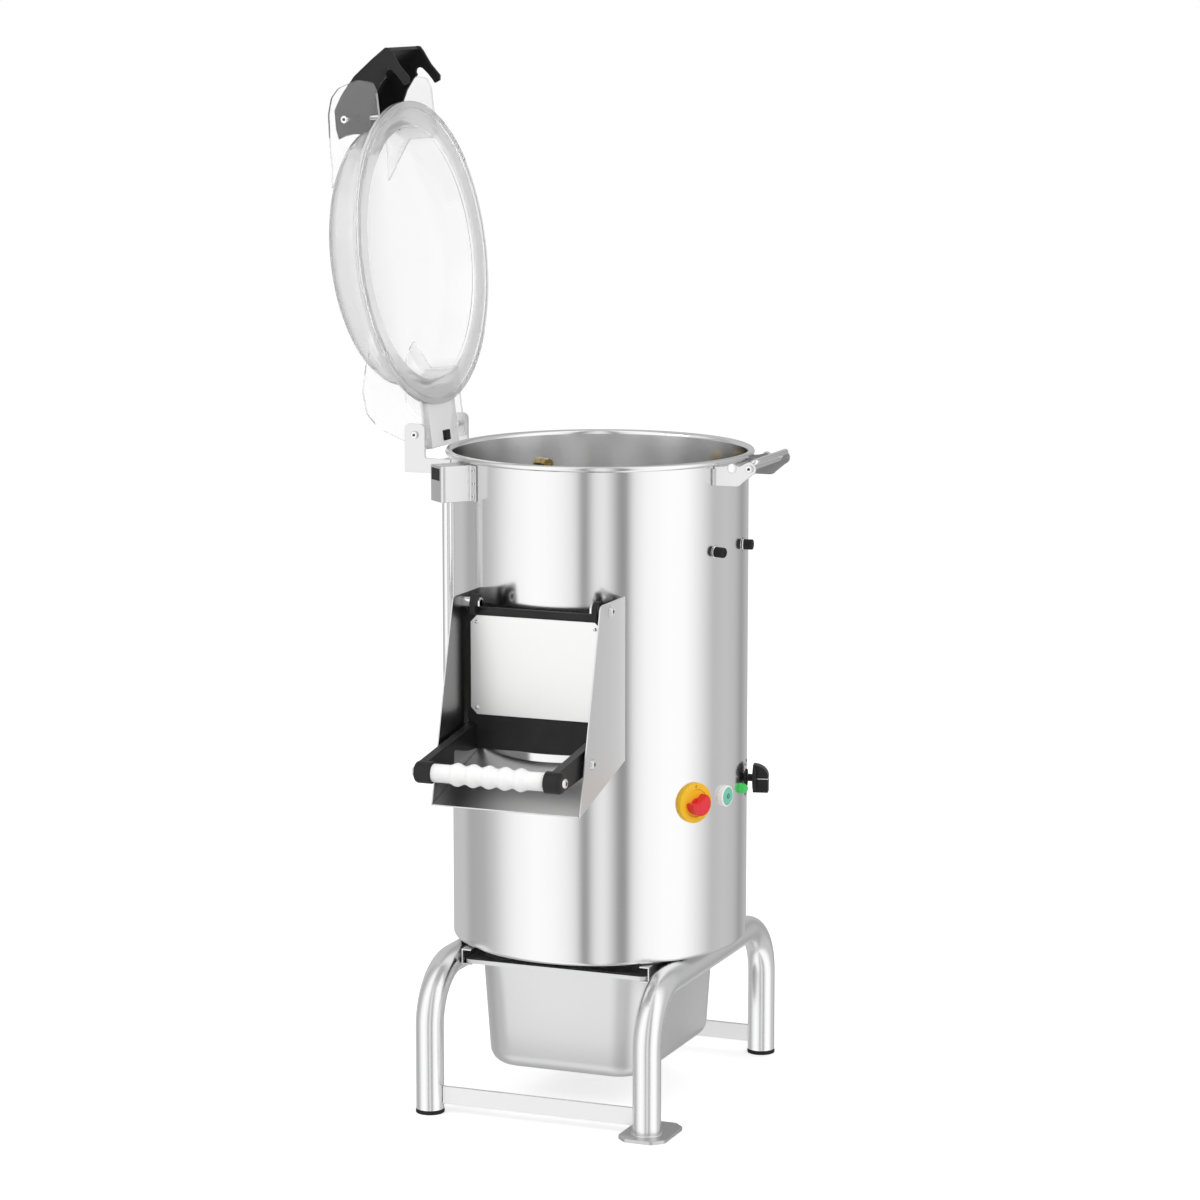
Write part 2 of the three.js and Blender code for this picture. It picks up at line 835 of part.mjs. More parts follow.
function buildRunners() {
  const { runnerSheet: sheet, runnerLedge: ledge, halfLength } = pan;
  const top = drumFoot - fit.seat;
  const inner = pan.halfWidth + fit.running;
  const outer = inner + sheet;
  const low = panRim - pan.lipTurn - fit.seat;
  const outline = [
    [inner - ledge, low - sheet], [outer, low - sheet], [outer, top], [inner - ledge, top],
    [inner - ledge, top - sheet], [inner, top - sheet], [inner, low], [inner - ledge, low],
  ];
  bothSides.forEach(([name, side]) => {
    const mirrored = outline.map(([x, z]) => [side * x, z]);
    const runner = plateAcrossY(side < 0 ? mirrored.toReversed() : mirrored, -halfLength, halfLength);
    add(`pan_runner_${name}`, runner, paint.sheetSteel);
  });
}

// Discharge chute

function buildChute() {
  const { halfWidth, sheet, cornerRadius: round } = chute;
  const back = -Math.sqrt(wallSeat ** 2 - halfWidth ** 2) + fit.running;
  const top = pivotHeight + chute.topRise;
  const topFront = -drum.outerRadius - chute.topReach;
  const rootHeight = mouthBottom - chute.rootDrop;
  const lip = [-drum.outerRadius - chute.lipReach, mouthBottom - chute.lipDrop];
  const outline = [
    lip, [back, rootHeight], [back, top],
    ...arc(topFront + round, top - round, round, 90, 180),
  ];
  const bore = door.pinRadius + fit.seat;
  const holes = [[doorFront, pivotHeight], [stopY, stopHeight]]
    .map(([y, z]) => barAlongX(bore, -drum.outerRadius, drum.outerRadius, y, z));
  bothSides.forEach(([name, side]) => {
    const plate = plateAcrossX(outline, ...sideSpan(side, halfWidth - sheet, halfWidth));
    add(`chute_side_${name}`, cut(plate, wallCutter(), ...holes), paint.brushedSteel);
  });
  buildChuteFloor(lip, rootHeight);
}

// The floor follows the lower edge of the side plates up to the wall.
function buildChuteFloor([lipY, lipHeight], rootHeight) {
  const { halfWidth, sheet } = chute;
  const inside = halfWidth - sheet - fit.seat;
  const slope = (rootHeight - lipHeight) / (chute.lipReach + fit.overrun);
  const back = -Math.sqrt(wallSeat ** 2 - inside ** 2) + fit.running;
  const backHeight = lipHeight + (back - lipY) * slope;
  const floor = plateAcrossX([
    [lipY, lipHeight], [back, backHeight], [back, backHeight + sheet], [lipY, lipHeight + sheet],
  ], -inside, inside);
  add('chute_floor', cut(floor, wallCutter()), paint.brushedSteel);
}

// Discharge door: everything is drawn closed, hanging from the pivot.

function buildDoor() {
  const barLow = pivotHeight - door.earRadius - fit.running;
  const panelLow = mouthBottom + door.footRise;
  const panel = block([-doorHalf, doorFront, panelLow], [doorHalf, doorFront + door.sheet, barLow]);
  const bar = barAlongX(door.barRadius, -doorHalf, doorHalf, doorFront + door.barRadius, barLow);
  const arms = [-1, 1].flatMap((side) => [doorArm(side), doorEar(side), doorCap(side)]);
  const through = doorHalf + fit.overrun;
  const rodHole = barAlongX(door.pinRadius, -through, through, gripY, gripHeight);
  const pivotHole = barAlongX(door.pinRadius + fit.seat, -through, through, doorFront, pivotHeight);
  add('door_panel', cut(join(panel, bar, ...arms), rodHole, pivotHole), paint.blackPlastic);
  buildDoorFace();
  buildGrip();
  buildDoorPins();
}

// The stop pin sits in a step below the arm. The step runs back to the panel as an arc about the
// pivot, so that the arm swings off the pin.
function doorArm(side) {
  const { capRadius: drop, sheet } = door;
  const top = mouthBottom + door.armRise;
  const seat = door.pinRadius + fit.seat;
  const [runY, runZ] = [stopY - doorFront, stopHeight - pivotHeight];
  const leanAngle = degrees(Math.atan2(runZ, runY));
  const swing = Math.hypot(runY, runZ) - seat;
  const heelAngle = degrees(Math.asin(sheet / swing));
  const outline = [
    [doorFront + sheet, top], [doorFront, top], [gripY, gripHeight + drop], [gripY, gripHeight - drop],
    [stopY - seat, stopHeight - drop],
    ...arc(stopY, stopHeight, seat, 180, 180 + leanAngle),
    ...arc(doorFront, pivotHeight, swing, leanAngle, heelAngle - 90),
  ];
  return plateAcrossX(outline, ...sideSpan(side, doorHalf - door.armSheet, doorHalf));
}

function doorEar(side) {
  const { earRadius: radius, earSheet: sheet } = door;
  const low = faceTop + 2 * fit.running;
  const outline = [
    [doorFront - radius, low], [doorFront + radius, low], ...arc(doorFront, pivotHeight, radius, 0, 180, 8),
  ];
  const inner = doorHalf - 2 * sheet;
  return plateAcrossX(outline, ...sideSpan(side, inner, inner + sheet));
}

function doorCap(side) {
  const { capRadius: radius, capRound: round } = door;
  const inner = gripHalf + fit.seat;
  const outer = doorHalf + round;
  const boss = turned([
    [0, inner], [radius, inner], ...arc(radius - round, outer - round, round, 0, 90, 3), [0, outer],
  ], boltSides);
  return boss.rotateY(side * quarterTurn).translate(0, gripY, gripHeight);
}

function buildDoorFace() {
  const half = doorHalf - door.faceMargin;
  const back = doorFront - fit.seat;
  const outline = chamferedBox(-half, half, mouthBottom + door.faceRise, faceTop, door.faceChamfer);
  add('door_face_plate', plateAcrossY(outline, back - door.faceSheet, back), paint.plateSteel);
}

// The grip swells into finger ridges round a through rod.
function buildGrip() {
  const { radius, ridgeHeight, ridgeCount, ridgePitch } = grip;
  const bore = door.pinRadius + fit.seat;
  const ridged = ridgeCount * ridgePitch / 2;
  const steps = ridgeCount * 4;
  const ridges = Array.from({ length: steps + 1 }, (_, i) => {
    const along = 2 * ridged * i / steps;
    const swell = ridgeHeight * (1 - Math.cos(2 * Math.PI * along / ridgePitch)) / 2;
    return [radius + swell, along - ridged];
  });
  const body = turned([
    [bore, -gripHalf], [radius, -gripHalf], ...ridges, [radius, gripHalf], [bore, gripHalf],
  ], gripSides);
  add('door_grip', body.rotateY(quarterTurn).translate(0, gripY, gripHeight), paint.whitePlastic);

  const reach = doorHalf + door.capRound + fit.seat;
  const along = (size, low, high) => barAlongX(size, low, high, gripY, gripHeight);
  const shaft = along(door.pinRadius - fit.seat, -reach, reach);
  add('grip_rod', join(shaft, ...twoHeads(along, reach)), paint.polishedSteel);
}

// The pivot bolts pass from the side plates through a spacer into the door's ears.
function buildDoorPins() {
  const plateInner = chute.halfWidth - chute.sheet - fit.seat;
  const plateOuter = chute.halfWidth + fit.seat;
  const headTop = plateOuter + bolt.headHeight;
  const earInner = doorHalf - 2 * door.earSheet - fit.seat;
  const earOuter = doorHalf - door.earSheet + fit.seat;
  const nutInner = earInner - bolt.headHeight;
  const pinEnd = doorHalf - door.armSheet / 2 + fit.seat;
  bothSides.forEach(([name, side]) => {
    const along = (radius, from, to, [y, z], sides) =>
      barAlongX(radius, ...sideSpan(side, from, to), y, z, sides);
    const pivot = [doorFront, pivotHeight];
    const shaft = along(door.pinRadius, nutInner, headTop, pivot);
    const nut = along(bolt.headRadius, nutInner, earInner, pivot, hexSides);
    const spacer = along(bolt.headRadius, earOuter, plateInner, pivot);
    const head = along(bolt.headRadius, plateOuter, headTop, pivot, hexSides);
    add(`door_pivot_bolt_${name}`, join(shaft, nut, spacer, head), paint.polishedSteel);

    const stop = [stopY, stopHeight];
    const pin = along(door.pinRadius, pinEnd, headTop, stop);
    const pinHead = along(bolt.headRadius, plateOuter, headTop, stop, hexSides);
    add(`door_stop_pin_${name}`, join(pin, pinHead), paint.polishedSteel);
  });
}

// Lid: drawn closed, then turned about its hinge into the open place.

const lidGroup = new THREE.Group();
machine.add(lidGroup);

function openLid() {
  const turn = new THREE.Matrix4().makeRotationY(-radians(lid.openAngle));
  const there = new THREE.Matrix4().makeTranslation(hingeX, 0, hingeHeight);
  const back = new THREE.Matrix4().makeTranslation(-hingeX, 0, -hingeHeight);
  lidGroup.applyMatrix4(there.multiply(turn).multiply(back));
}

function domeProfile(inset) {
  const height = lid.domeHeight - lid.collarHeight - inset;
  const curve = ellipse(0, lidSeat + lid.collarHeight, lidInner - inset, height, 0, 90, 6);
  const [, crown] = curve.at(-1);
  return [...curve.slice(0, -1), [0, crown]];
}

// Everything inside a copy of the dome that is set in by a distance, down to below the flange.
function domeSolid(inset) {
  const floor = lidSeat - fit.overrun;
  return turned([[0, floor], [lidInner - inset, floor], ...domeProfile(inset)], lidSides);
}

function buildLid() {
  const { flange, wall, tailHalfWidth } = lid;
  const shell = turned([
    [lidInner - wall, lidSeat], [lidOuter, lidSeat], [lidOuter, lidSeat + flange],
    [lidInner + flange, lidSeat + flange], [lidInner, lidSeat + 2 * flange],
    ...domeProfile(0), ...domeProfile(wall).toReversed(),
  ], lidSides);
  const fins = [-1, 1].flatMap((side) => [hingeFin(side), latchEar(side)]);
  const trimmed = fins.map((fin) => cut(fin, domeSolid(wall)));
  const tailEnd = -drum.outerRadius - lid.tailReach;
  const tail = block([tailEnd, -tailHalfWidth, lidSeat], [-lidInner, tailHalfWidth, lidSeat + lid.tailSheet]);
  const pinHole = barAlongY(hinge.pinRadius + fit.seat, -lidOuter, lidOuter, hingeX, hingeHeight);
  const leverHole = leverAxis(lever.pinRadius + fit.seat, -lidOuter, lidOuter);
  add('lid_dome', cut(join(shell, ...trimmed, tail), pinHole, leverHole), paint.clearPlastic, lidGroup);
  const seal = ring(lidOuter - lid.sealWidth, lidOuter, drumRim + fit.seat, lidSeat - fit.seat, lidSides);
  add('lid_seal', seal, paint.clearPlastic, lidGroup);
}

// An outline of [reach, rise] points on one side of the lid, as [x, z] points.
const lidOutline = (points, side = 1) =>
  points.map(([reach, rise]) => [side * (drum.outerRadius + reach), lidSeat + rise]);

function hingeFin(side) {
  const outline = [[0, lidSeat], ...lidOutline(lid.finOutline, -1)];
  return plateAcrossY(outline, ...midSpan(side, lid.finOffset, lid.finSheet));
}

function latchEar(side) {
  const outline = [[0, lidSeat], ...lidOutline(lid.earOutline)];
  return plateAcrossY(outline.toReversed(), ...midSpan(side, lid.earOffset, lid.finSheet));
}

// Latch lever: a channel with a hook at the end of each side. The arm of the hook is an arc about
// the pivot, so that it swings under the bail without touching it.

const leverAxis = (radius, low, high) => barAlongY(radius, low, high, leverX, leverHeight);

function hookPocket() {
  const [runX, runZ] = [bailX - leverX, bailHeight - leverHeight];
  const pocket = bail.radius + 2 * fit.running;
  const leanAngle = degrees(Math.atan2(runZ, runX));
  return [
    ...arc(leverX, leverHeight, Math.hypot(runX, runZ) + pocket, lever.armStartAngle, lever.armEndAngle, 3),
    ...arc(bailX, bailHeight, pocket, leanAngle, leanAngle + 180),
  ];
}

function buildLever() {
  const { backOutline, hookOutline, underOutline, halfWidth, sheet, liftAngle, liftShares } = lever;
  const back = lidOutline(backOutline);
  const hook = [...lidOutline(hookOutline), ...hookPocket()];
  const outline = [...back, ...hook, ...lidOutline(underOutline)].toReversed();
  const cheek = (side) => plateAcrossY(outline, ...sideSpan(side, halfWidth - sheet, halfWidth));
  const lining = back.map(([x, z]) => [x > leverX ? x - sheet : x, z - sheet]);
  const web = plateAcrossY([...back, ...lining.toReversed()].toReversed(), -halfWidth, halfWidth);
  const pinHole = leverAxis(lever.pinRadius + fit.seat, -lidOuter, lidOuter);
  const swept = liftShares.map((share) => turnedAboutPivot(domeSolid(-fit.running), -liftAngle * share));
  add('latch_lever', cut(join(cheek(-1), cheek(1), web), pinHole, ...swept), paint.blackPlastic, lidGroup);

  const reach = lid.earOffset + lid.finSheet / 2 + fit.seat;
  const pin = join(leverAxis(lever.pinRadius, -reach, reach), ...twoHeads(leverAxis, reach));
  add('latch_pivot_pin', pin, paint.polishedSteel, lidGroup);
}

function turnedAboutPivot(geometry, angle) {
  const centred = geometry.translate(-leverX, 0, -leverHeight).rotateY(-radians(angle));
  return centred.translate(leverX, 0, leverHeight);
}

// Catch on the drum: a bracket, and the bail that the hooks hold

function buildCatch() {
  const { sheet, earOffset, earRound: round } = bail;
  const top = catchHeight + bail.bandRise;
  const low = top - bail.bandHeight;
  const span = degrees(Math.asin((earOffset + sheet / 2 + bail.bandMargin) / drum.outerRadius));
  const bandOutline = [
    ...arc(0, 0, wallSeat + sheet, -span, span, 12), ...arc(0, 0, wallSeat, span, -span, 12),
  ];
  const root = drum.outerRadius - fit.overrun;
  const outline = [
    [root, low], [catchX - round, low], ...arc(catchX, catchHeight, round, -60, 110, 8), [root, top],
  ];
  const ear = (side) => cut(plateAcrossY(outline, ...midSpan(side, earOffset, sheet)), wallCutter());
  const boltHole = barAlongY(bail.radius + fit.seat, -drumInner, drumInner, catchX, catchHeight);
  const bracket = join(upright(bandOutline, low, top), ear(-1), ear(1));
  add('latch_bracket', cut(bracket, boltHole), paint.brushedSteel);
  buildBail();
}

function buildBail() {
  const { halfWidth: half, radius, earOffset, sheet } = bail;
  const headLow = earOffset + sheet / 2 + fit.seat;
  const end = headLow + bolt.headHeight / 2;
  const loop = rod([
    vector(catchX, -end, catchHeight), vector(catchX, -half, catchHeight), vector(bailX, -half, bailHeight),
    vector(bailX, half, bailHeight), vector(catchX, half, catchHeight), vector(catchX, end, catchHeight),
  ], bail.bend, radius, 3, boltSides);
  const along = (size, low, high) => barAlongY(size, low, high, catchX, catchHeight);
  add('catch_bail', join(loop, ...twoHeads(along, headLow)), paint.polishedSteel);
}

// Lid hinge

function buildHinge() {
  const { earOffset, earHalfWidth: half, earRound: round, sheet } = hinge;
  const root = fit.overrun - drum.outerRadius;
  const [outer, inner] = [hingeX - half, hingeX + half];
  const baseTop = drumRim - hinge.baseDrop;
  const low = baseTop - sheet;
  const shelf = low + hinge.shelfHeight;
  const roundHeight = hingeHeight + round;
  const outline = [
    [outer, low], [root, low], [root, shelf], [inner + sheet, shelf], [inner, shelf + sheet],
    ...arc(inner - round, roundHeight, round, 0, 90, 3),
    ...arc(outer + round, roundHeight, round, 90, 180, 3),
  ];
  const ears = [-1, 1].map((side) => plateAcrossY(outline, ...midSpan(side, earOffset, sheet)));
  const reach = earOffset + sheet / 2;
  const base = block([outer, -reach, low], [root + fit.overrun, reach, baseTop]);
  const hole = barAlongY(hinge.pinRadius + fit.seat, -drumInner, drumInner, hingeX, hingeHeight);
  add('hinge_bracket', cut(join(...ears, base), wallCutter(), hole), paint.brushedSteel);

  bothEnds.forEach(([name, side]) => {
    const from = lid.finOffset - lid.finSheet / 2;
    const to = reach + fit.seat;
    const pin = barAlongY(hinge.pinRadius, ...sideSpan(side, from, to), hingeX, hingeHeight);
    const head = barAlongY(bolt.headRadius, ...sideSpan(side, to, to + bolt.headHeight), hingeX, hingeHeight);
    add(`hinge_pin_${name}`, join(pin, head), paint.polishedSteel);
  });
}

// Safety switch in its sheet housing, and the conduit that takes its wires into the drum

function buildSafetySwitch() {
  const { wallAngle, halfWidth: half, height, reach, sheet, flange } = safetySwitch;
  const top = drumRim - safetySwitch.rimGap;
  const low = top - height;
  const root = drum.outerRadius - fit.overrun;
  const face = drum.outerRadius + reach;
  const box = block([root, -half, low], [face, half, top]);
  const wing = keep(
    block([root, -half - flange, low], [face, half + flange, top]),
    ring(drum.outerRadius, wallSeat + sheet, low, top, wallSides * 2),
  );
  const { windowHeight, windowMargin: margin } = safetySwitch;
  const windowTop = top - margin;
  const window = block(
    [face - 2 * sheet, -half + margin, windowTop - windowHeight], [face + sheet, half - margin, windowTop],
  );
  add('switch_housing', onWall(cut(join(box, wing), wallCutter(), window), wallAngle), paint.brushedSteel);

  const pipeX = drum.outerRadius + safetySwitch.conduitReach;
  const bottom = floorHeight - safetySwitch.conduitDrop;
  const path = [vector(pipeX, 0, low - fit.seat), vector(pipeX, 0, bottom), vector(wallSeat, 0, bottom)];
  const pipe = rod(path, safetySwitch.conduitBend, safetySwitch.conduitRadius);
  add('switch_conduit', onWall(cut(pipe, wallCutter()), wallAngle), paint.polishedSteel);
}

// Water spray inside the back of the drum and its inlet outside

function buildWater() {
  const z = drumRim - water.rimGap;
  const seat = drumInner * facetShare - fit.seat;
  const nozzle = join(
    barAlongX(water.nozzleRadius, seat - water.nozzleLength, seat, 0, z),
    disc(water.tipRadius, z - water.tipDrop, z).translate(seat - water.tipInset, 0, 0),
  );
  add('spray_nozzle', onWall(nozzle, water.wallAngle), paint.brass);
  const root = drum.outerRadius - controls.root;
  const inlet = join(
    barAlongX(water.hexRadius, root, wallSeat + water.hexHeight, 0, z, hexSides),
    barAlongX(water.pipeRadius, root, wallSeat + water.pipeReach, 0, z),
    disc(water.pipeRadius, z - water.elbowDrop, z).translate(wallSeat + water.elbowReach, 0, 0),
  );
  add('water_inlet', onWall(cut(inlet, wallCutter()), water.wallAngle), paint.brass);
}

// Controls on the wall

// Trims a piece that was built along +X to the wall's curve and puts it at its height and angle.
function addOnWall(name, geometry, { wallAngle }, z, material) {
  const seated = cut(geometry.translate(0, 0, z), wallCutter());
  add(name, onWall(seated, wallAngle), material);
}

function buildControls() {
  const z = floorHeight - controls.drop;
  buildMainSwitch(z);
  buildStartButton(z);
  buildTimer(floorHeight - controls.timerDrop);
  const { radius, edge, domeHeight } = runLamp;
  const lens = wallTurned([
    [0, -controls.root], [radius, -controls.root], ...ellipse(0, edge, radius, domeHeight, 0, 90, 4),
  ]);
  addOnWall('run_lamp', lens, runLamp, z, paint.lampGreen);
}

function buildMainSwitch(z) {
  const { radius, depth, chamfer, recessMargin: margin, knobRadius } = mainSwitch;
  const seat = depth - mainSwitch.recess;
  const bezel = wallTurned([
    [0, -controls.root], [radius, -controls.root], [radius, depth - chamfer], [radius - chamfer, depth],
    [knobRadius + 2 * margin, depth], [knobRadius + margin, seat], [0, seat],
  ], dialSides);
  addOnWall('switch_bezel', bezel, mainSwitch, z, paint.yellowPlastic);

  const low = seat + fit.seat;
  const { knobSheet, knobEdge, knobChamfer } = mainSwitch;
  const base = wallTurned([
    [0, low], [knobRadius, low], [knobRadius, low + knobEdge], [knobRadius - knobChamfer, low + knobSheet],
    [0, low + knobSheet],
  ]);
  const { gripHalfWidth: half, gripHalfLength: reach, gripHeight: height, gripAngle } = mainSwitch;
  const bar = block([wallSeat + low, -half, -reach], [wallSeat + low + height, half, reach])
    .rotateX(-radians(gripAngle));
  addOnWall('switch_knob', join(base, bar), mainSwitch, z, paint.redPlastic);
}

function buildStartButton(z) {
  const { bezelRadius: radius, bezelEdge, bezelChamfer, depth, capRadius, capRound, travel } = startButton;
  const bore = capRadius + fit.seat;
  const low = depth - travel;
  const well = low - travel - fit.seat;
  const bezel = wallTurned([
    [0, -controls.root], [radius, -controls.root], [radius, bezelEdge], [radius - bezelChamfer, depth],
    [bore, depth], [bore, well], [0, well],
  ]);
  addOnWall('button_bezel', bezel, startButton, z, paint.whitePlastic);
  const cap = wallTurned([
    [0, low], [capRadius, low], [capRadius, depth],
    [capRadius - capRound, depth + capRound], [0, depth + capRound],
  ]);
  addOnWall('start_button', cap, startButton, z, paint.greenPlastic);
}

function buildTimer(z) {
  const { radius, dialSheet, neckRadius, skirtRise, skirtSheet, skirtEdge, skirtChamfer } = timer;
  const dial = wallTurned([
    [0, -controls.root], [radius, -controls.root], [radius, dialSheet], [0, dialSheet],
  ], dialSides);
  addOnWall('timer_dial', dial, timer, z, paint.blackPlastic);

  const neckTop = skirtRise + skirtSheet / 2;
  const neckLow = dialSheet + fit.seat;
  const neck = wallTurned([
    [0, neckLow], [neckRadius, neckLow], [neckRadius, neckTop], [0, neckTop],
  ], boltSides);
  const skirt = wallTurned([
    [0, skirtRise], [radius, skirtRise], [radius, skirtRise + skirtEdge],
    [radius - skirtChamfer, skirtRise + skirtSheet], [0, skirtRise + skirtSheet],
  ], dialSides);
  const { barHalfWidth: half, barHeight: height, barShoulder: shoulder } = timer;
  const low = wallSeat + skirtRise;
  const bar = plateAcrossY([
    [low, -radius], [low + height, -radius], ...ellipse(low, shoulder, height, radius - shoulder, 0, 90, 6),
  ], -half, half);
  addOnWall('timer_knob', join(neck, skirt, bar), timer, z, paint.blackPlastic);
}

// Rubber studs on the wall, below the rim
function buildStuds() {
  const { radius, footRadius, footHeight, length, chamfer, middleAngle, spreadAngle } = stud;
  bothEnds.forEach(([name, side]) => {
    const body = wallTurned([
      [0, -controls.root], [footRadius, -controls.root], [footRadius, footHeight],
      [radius, footHeight + chamfer / 3], [radius, length - chamfer], [radius - chamfer, length], [0, length],
    ]);
    const place = { wallAngle: middleAngle + side * spreadAngle };
    addOnWall(`wall_stud_${name}`, body, place, drumRim - stud.rimGap, paint.rubber);
  });
}

buildDrum();
buildChamber();
buildTurntable();
buildMotor();
buildFrame();
buildPan();
buildChute();
buildDoor();
buildLid();
buildLever();
openLid();
buildCatch();
buildHinge();
buildSafetySwitch();
buildWater();
buildControls();
buildStuds();

const wholeBox = new THREE.Box3().setFromObject(machine, true);
const middle = wholeBox.getCenter(vector(0, 0, 0));
machine.position.set(-middle.x, -middle.y, -wholeBox.min.z);
const peeler = new THREE.Group();
peeler.add(machine);

export default peeler;
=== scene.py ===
"""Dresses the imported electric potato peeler: a brushed drum on a tube trestle, clear lid, chute and controls.

Pieces are drawn in millimetres about the drum's axis, with the floor at zero, and placed in metres.
"""

from __future__ import annotations

import logging
import math
from dataclasses import dataclass, field
from enum import Enum
from typing import Callable, Iterable, Sequence

import bmesh
import bpy
from mathutils import Matrix, Vector

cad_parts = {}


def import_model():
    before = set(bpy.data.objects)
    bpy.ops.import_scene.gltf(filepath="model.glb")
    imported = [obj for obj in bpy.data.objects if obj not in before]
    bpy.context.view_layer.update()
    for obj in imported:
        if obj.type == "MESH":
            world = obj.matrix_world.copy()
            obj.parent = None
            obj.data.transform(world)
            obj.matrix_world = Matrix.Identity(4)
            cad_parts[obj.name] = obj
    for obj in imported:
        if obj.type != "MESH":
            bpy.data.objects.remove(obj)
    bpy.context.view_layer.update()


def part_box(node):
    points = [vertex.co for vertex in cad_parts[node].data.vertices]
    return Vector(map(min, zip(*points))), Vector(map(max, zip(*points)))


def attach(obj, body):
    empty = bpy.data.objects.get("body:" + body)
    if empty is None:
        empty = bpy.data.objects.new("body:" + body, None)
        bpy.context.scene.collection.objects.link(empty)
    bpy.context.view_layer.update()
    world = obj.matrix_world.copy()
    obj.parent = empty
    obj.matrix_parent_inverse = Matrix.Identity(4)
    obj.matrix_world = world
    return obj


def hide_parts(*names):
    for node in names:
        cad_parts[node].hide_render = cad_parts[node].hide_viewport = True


LOG = logging.getLogger("peeler")

Point2 = tuple[float, float]
Socket = bpy.types.NodeSocket

ACROSS_X = (1, 0, 0)
ACROSS_Y = (0, 1, 0)
WHITE_LIGHT = (1, 1, 1, 1)


class Body(Enum):
    """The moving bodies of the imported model."""

    BASE = "base"
    TURNTABLE = "turntable"
    MOTOR = "motor_rotor"
    PAN = "pan"
    DOOR = "door"
    LID = "lid"
    LEVER = "lever"
    MAIN_KNOB = "main_knob"
    BUTTON = "button"
    TIMER = "timer"


class Plane(Enum):
    """The plane an outline is drawn in; it is then pushed along the third axis."""

    XY = "floor"
    XZ = "front"
    YZ = "side"

    def point(self, a: float, b: float, depth: float) -> Vector:
        """Place of an outline point at a depth.

        Args:
            a: First coordinate in the plane.
            b: Second coordinate in the plane.
            depth: Distance along the axis that the plane leaves out.

        Returns:
            The point in space.
        """
        if self is Plane.XY:
            return Vector((a, b, depth))
        if self is Plane.XZ:
            return Vector((a, depth, b))
        return Vector((depth, a, b))


def machine_matrix() -> Matrix:
    """Leads from millimetres about the drum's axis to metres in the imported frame.

    Returns:
        The placing matrix.
    """
    low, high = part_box("drum_shell")
    middle = (low + high) / 2
    return Matrix.Translation((middle.x, middle.y, 0)) @ Matrix.Scale(0.001, 4)


def on_wall(angle: float, height: float = 0) -> Matrix:
    """Turns a piece drawn along +X so that it stands on the drum's wall.

    Args:
        angle: Degrees from the front towards the latch side.
        height: Height of the piece's middle above the floor.

    Returns:
        The placing matrix.
    """
    return Matrix.Rotation(math.radians(angle - 90), 4, "Z") @ Matrix.Translation((0, 0, height))


def along_x(x: float = 0, y: float = 0, z: float = 0) -> Matrix:
    """Lays a turned piece on its side so that its axis runs along X."""
    return Matrix.Translation((x, y, z)) @ Matrix.Rotation(math.pi / 2, 4, "Y")


def along_y(x: float = 0, y: float = 0, z: float = 0) -> Matrix:
    """Lays a turned piece on its side so that its axis runs along Y."""
    return Matrix.Translation((x, y, z)) @ Matrix.Rotation(-math.pi / 2, 4, "X")


def arc(centre: Point2, radius: float, start: float, end: float, steps: int = 8) -> list[Point2]:
    """Points of an arc, both ends included.

    Args:
        centre: Middle of the arc.
        radius: Its radius.
        start: First angle in degrees.
        end: Last angle in degrees.
        steps: Number of stretches.

    Returns:
        The points in order.
    """
    turns = [math.radians(start + (end - start) * i / steps) for i in range(steps + 1)]
    return [(centre[0] + radius * math.cos(t), centre[1] + radius * math.sin(t)) for t in turns]


def side_span(sign: int, first: float, last: float) -> list[float]:
    """Depths of a layer on one side of the machine, lowest first."""
    return sorted((sign * first, sign * last))


def cut_corners(half: float, low: float, high: float, trim: float) -> list[Point2]:
    """Outline of a plate with its four corners cut off.

    Args:
        half: Half the plate's width.
        low: Its first edge.
        high: Its last edge.
        trim: What each corner loses along both edges.

    Returns:
        The points in order.
    """
    return [(-half, low + trim), (-half + trim, low), (half - trim, low), (half, low + trim),
            (half, high - trim), (half - trim, high), (-half + trim, high), (-half, high - trim)]


# Finishes


class Nodes:
    """A node tree while it is being written."""

    def __init__(self, tree: bpy.types.NodeTree) -> None:
        """Empties the tree."""
        self.tree = tree
        tree.nodes.clear()

    def node(self, kind: str, values: dict | None = None, **settings: object) -> bpy.types.Node:
        """Adds a node.

        Args:
            kind: Blender's node type.
            values: Socket values by name or index.
            **settings: Attributes of the node.

        Returns:
            The node.
        """
        made = self.tree.nodes.new(kind)
        for key, value in settings.items():
            setattr(made, key, value)
        for key, value in (values or {}).items():
            made.inputs[key].default_value = value
        return made

    def link(self, source: Socket, target: Socket) -> None:
        """Joins two sockets."""
        self.tree.links.new(source, target)

    def blend(self, share: Socket, first: Socket, last: Socket) -> Socket:
        """Blends two shaders.

        Args:
            share: Share of the last one.
            first: Shader at a share of 0.
            last: Shader at a share of 1.

        Returns:
            The blended shader's socket.
        """
        made = self.node("ShaderNodeMixShader")
        for index, source in enumerate((share, first, last)):
            self.link(source, made.inputs[index])
        return made.outputs[0]

    def in_view(self) -> Socket:
        """Tells what is seen straight or through a clear piece from what only lights or is mirrored.

        Returns:
            A socket that is 1 for what is seen.
        """
        path = self.node("ShaderNodeLightPath")
        either = self.node("ShaderNodeMath", operation="MAXIMUM")
        self.link(path.outputs["Is Camera Ray"], either.inputs[0])
        self.link(path.outputs["Is Transmission Ray"], either.inputs[1])
        return either.outputs[0]


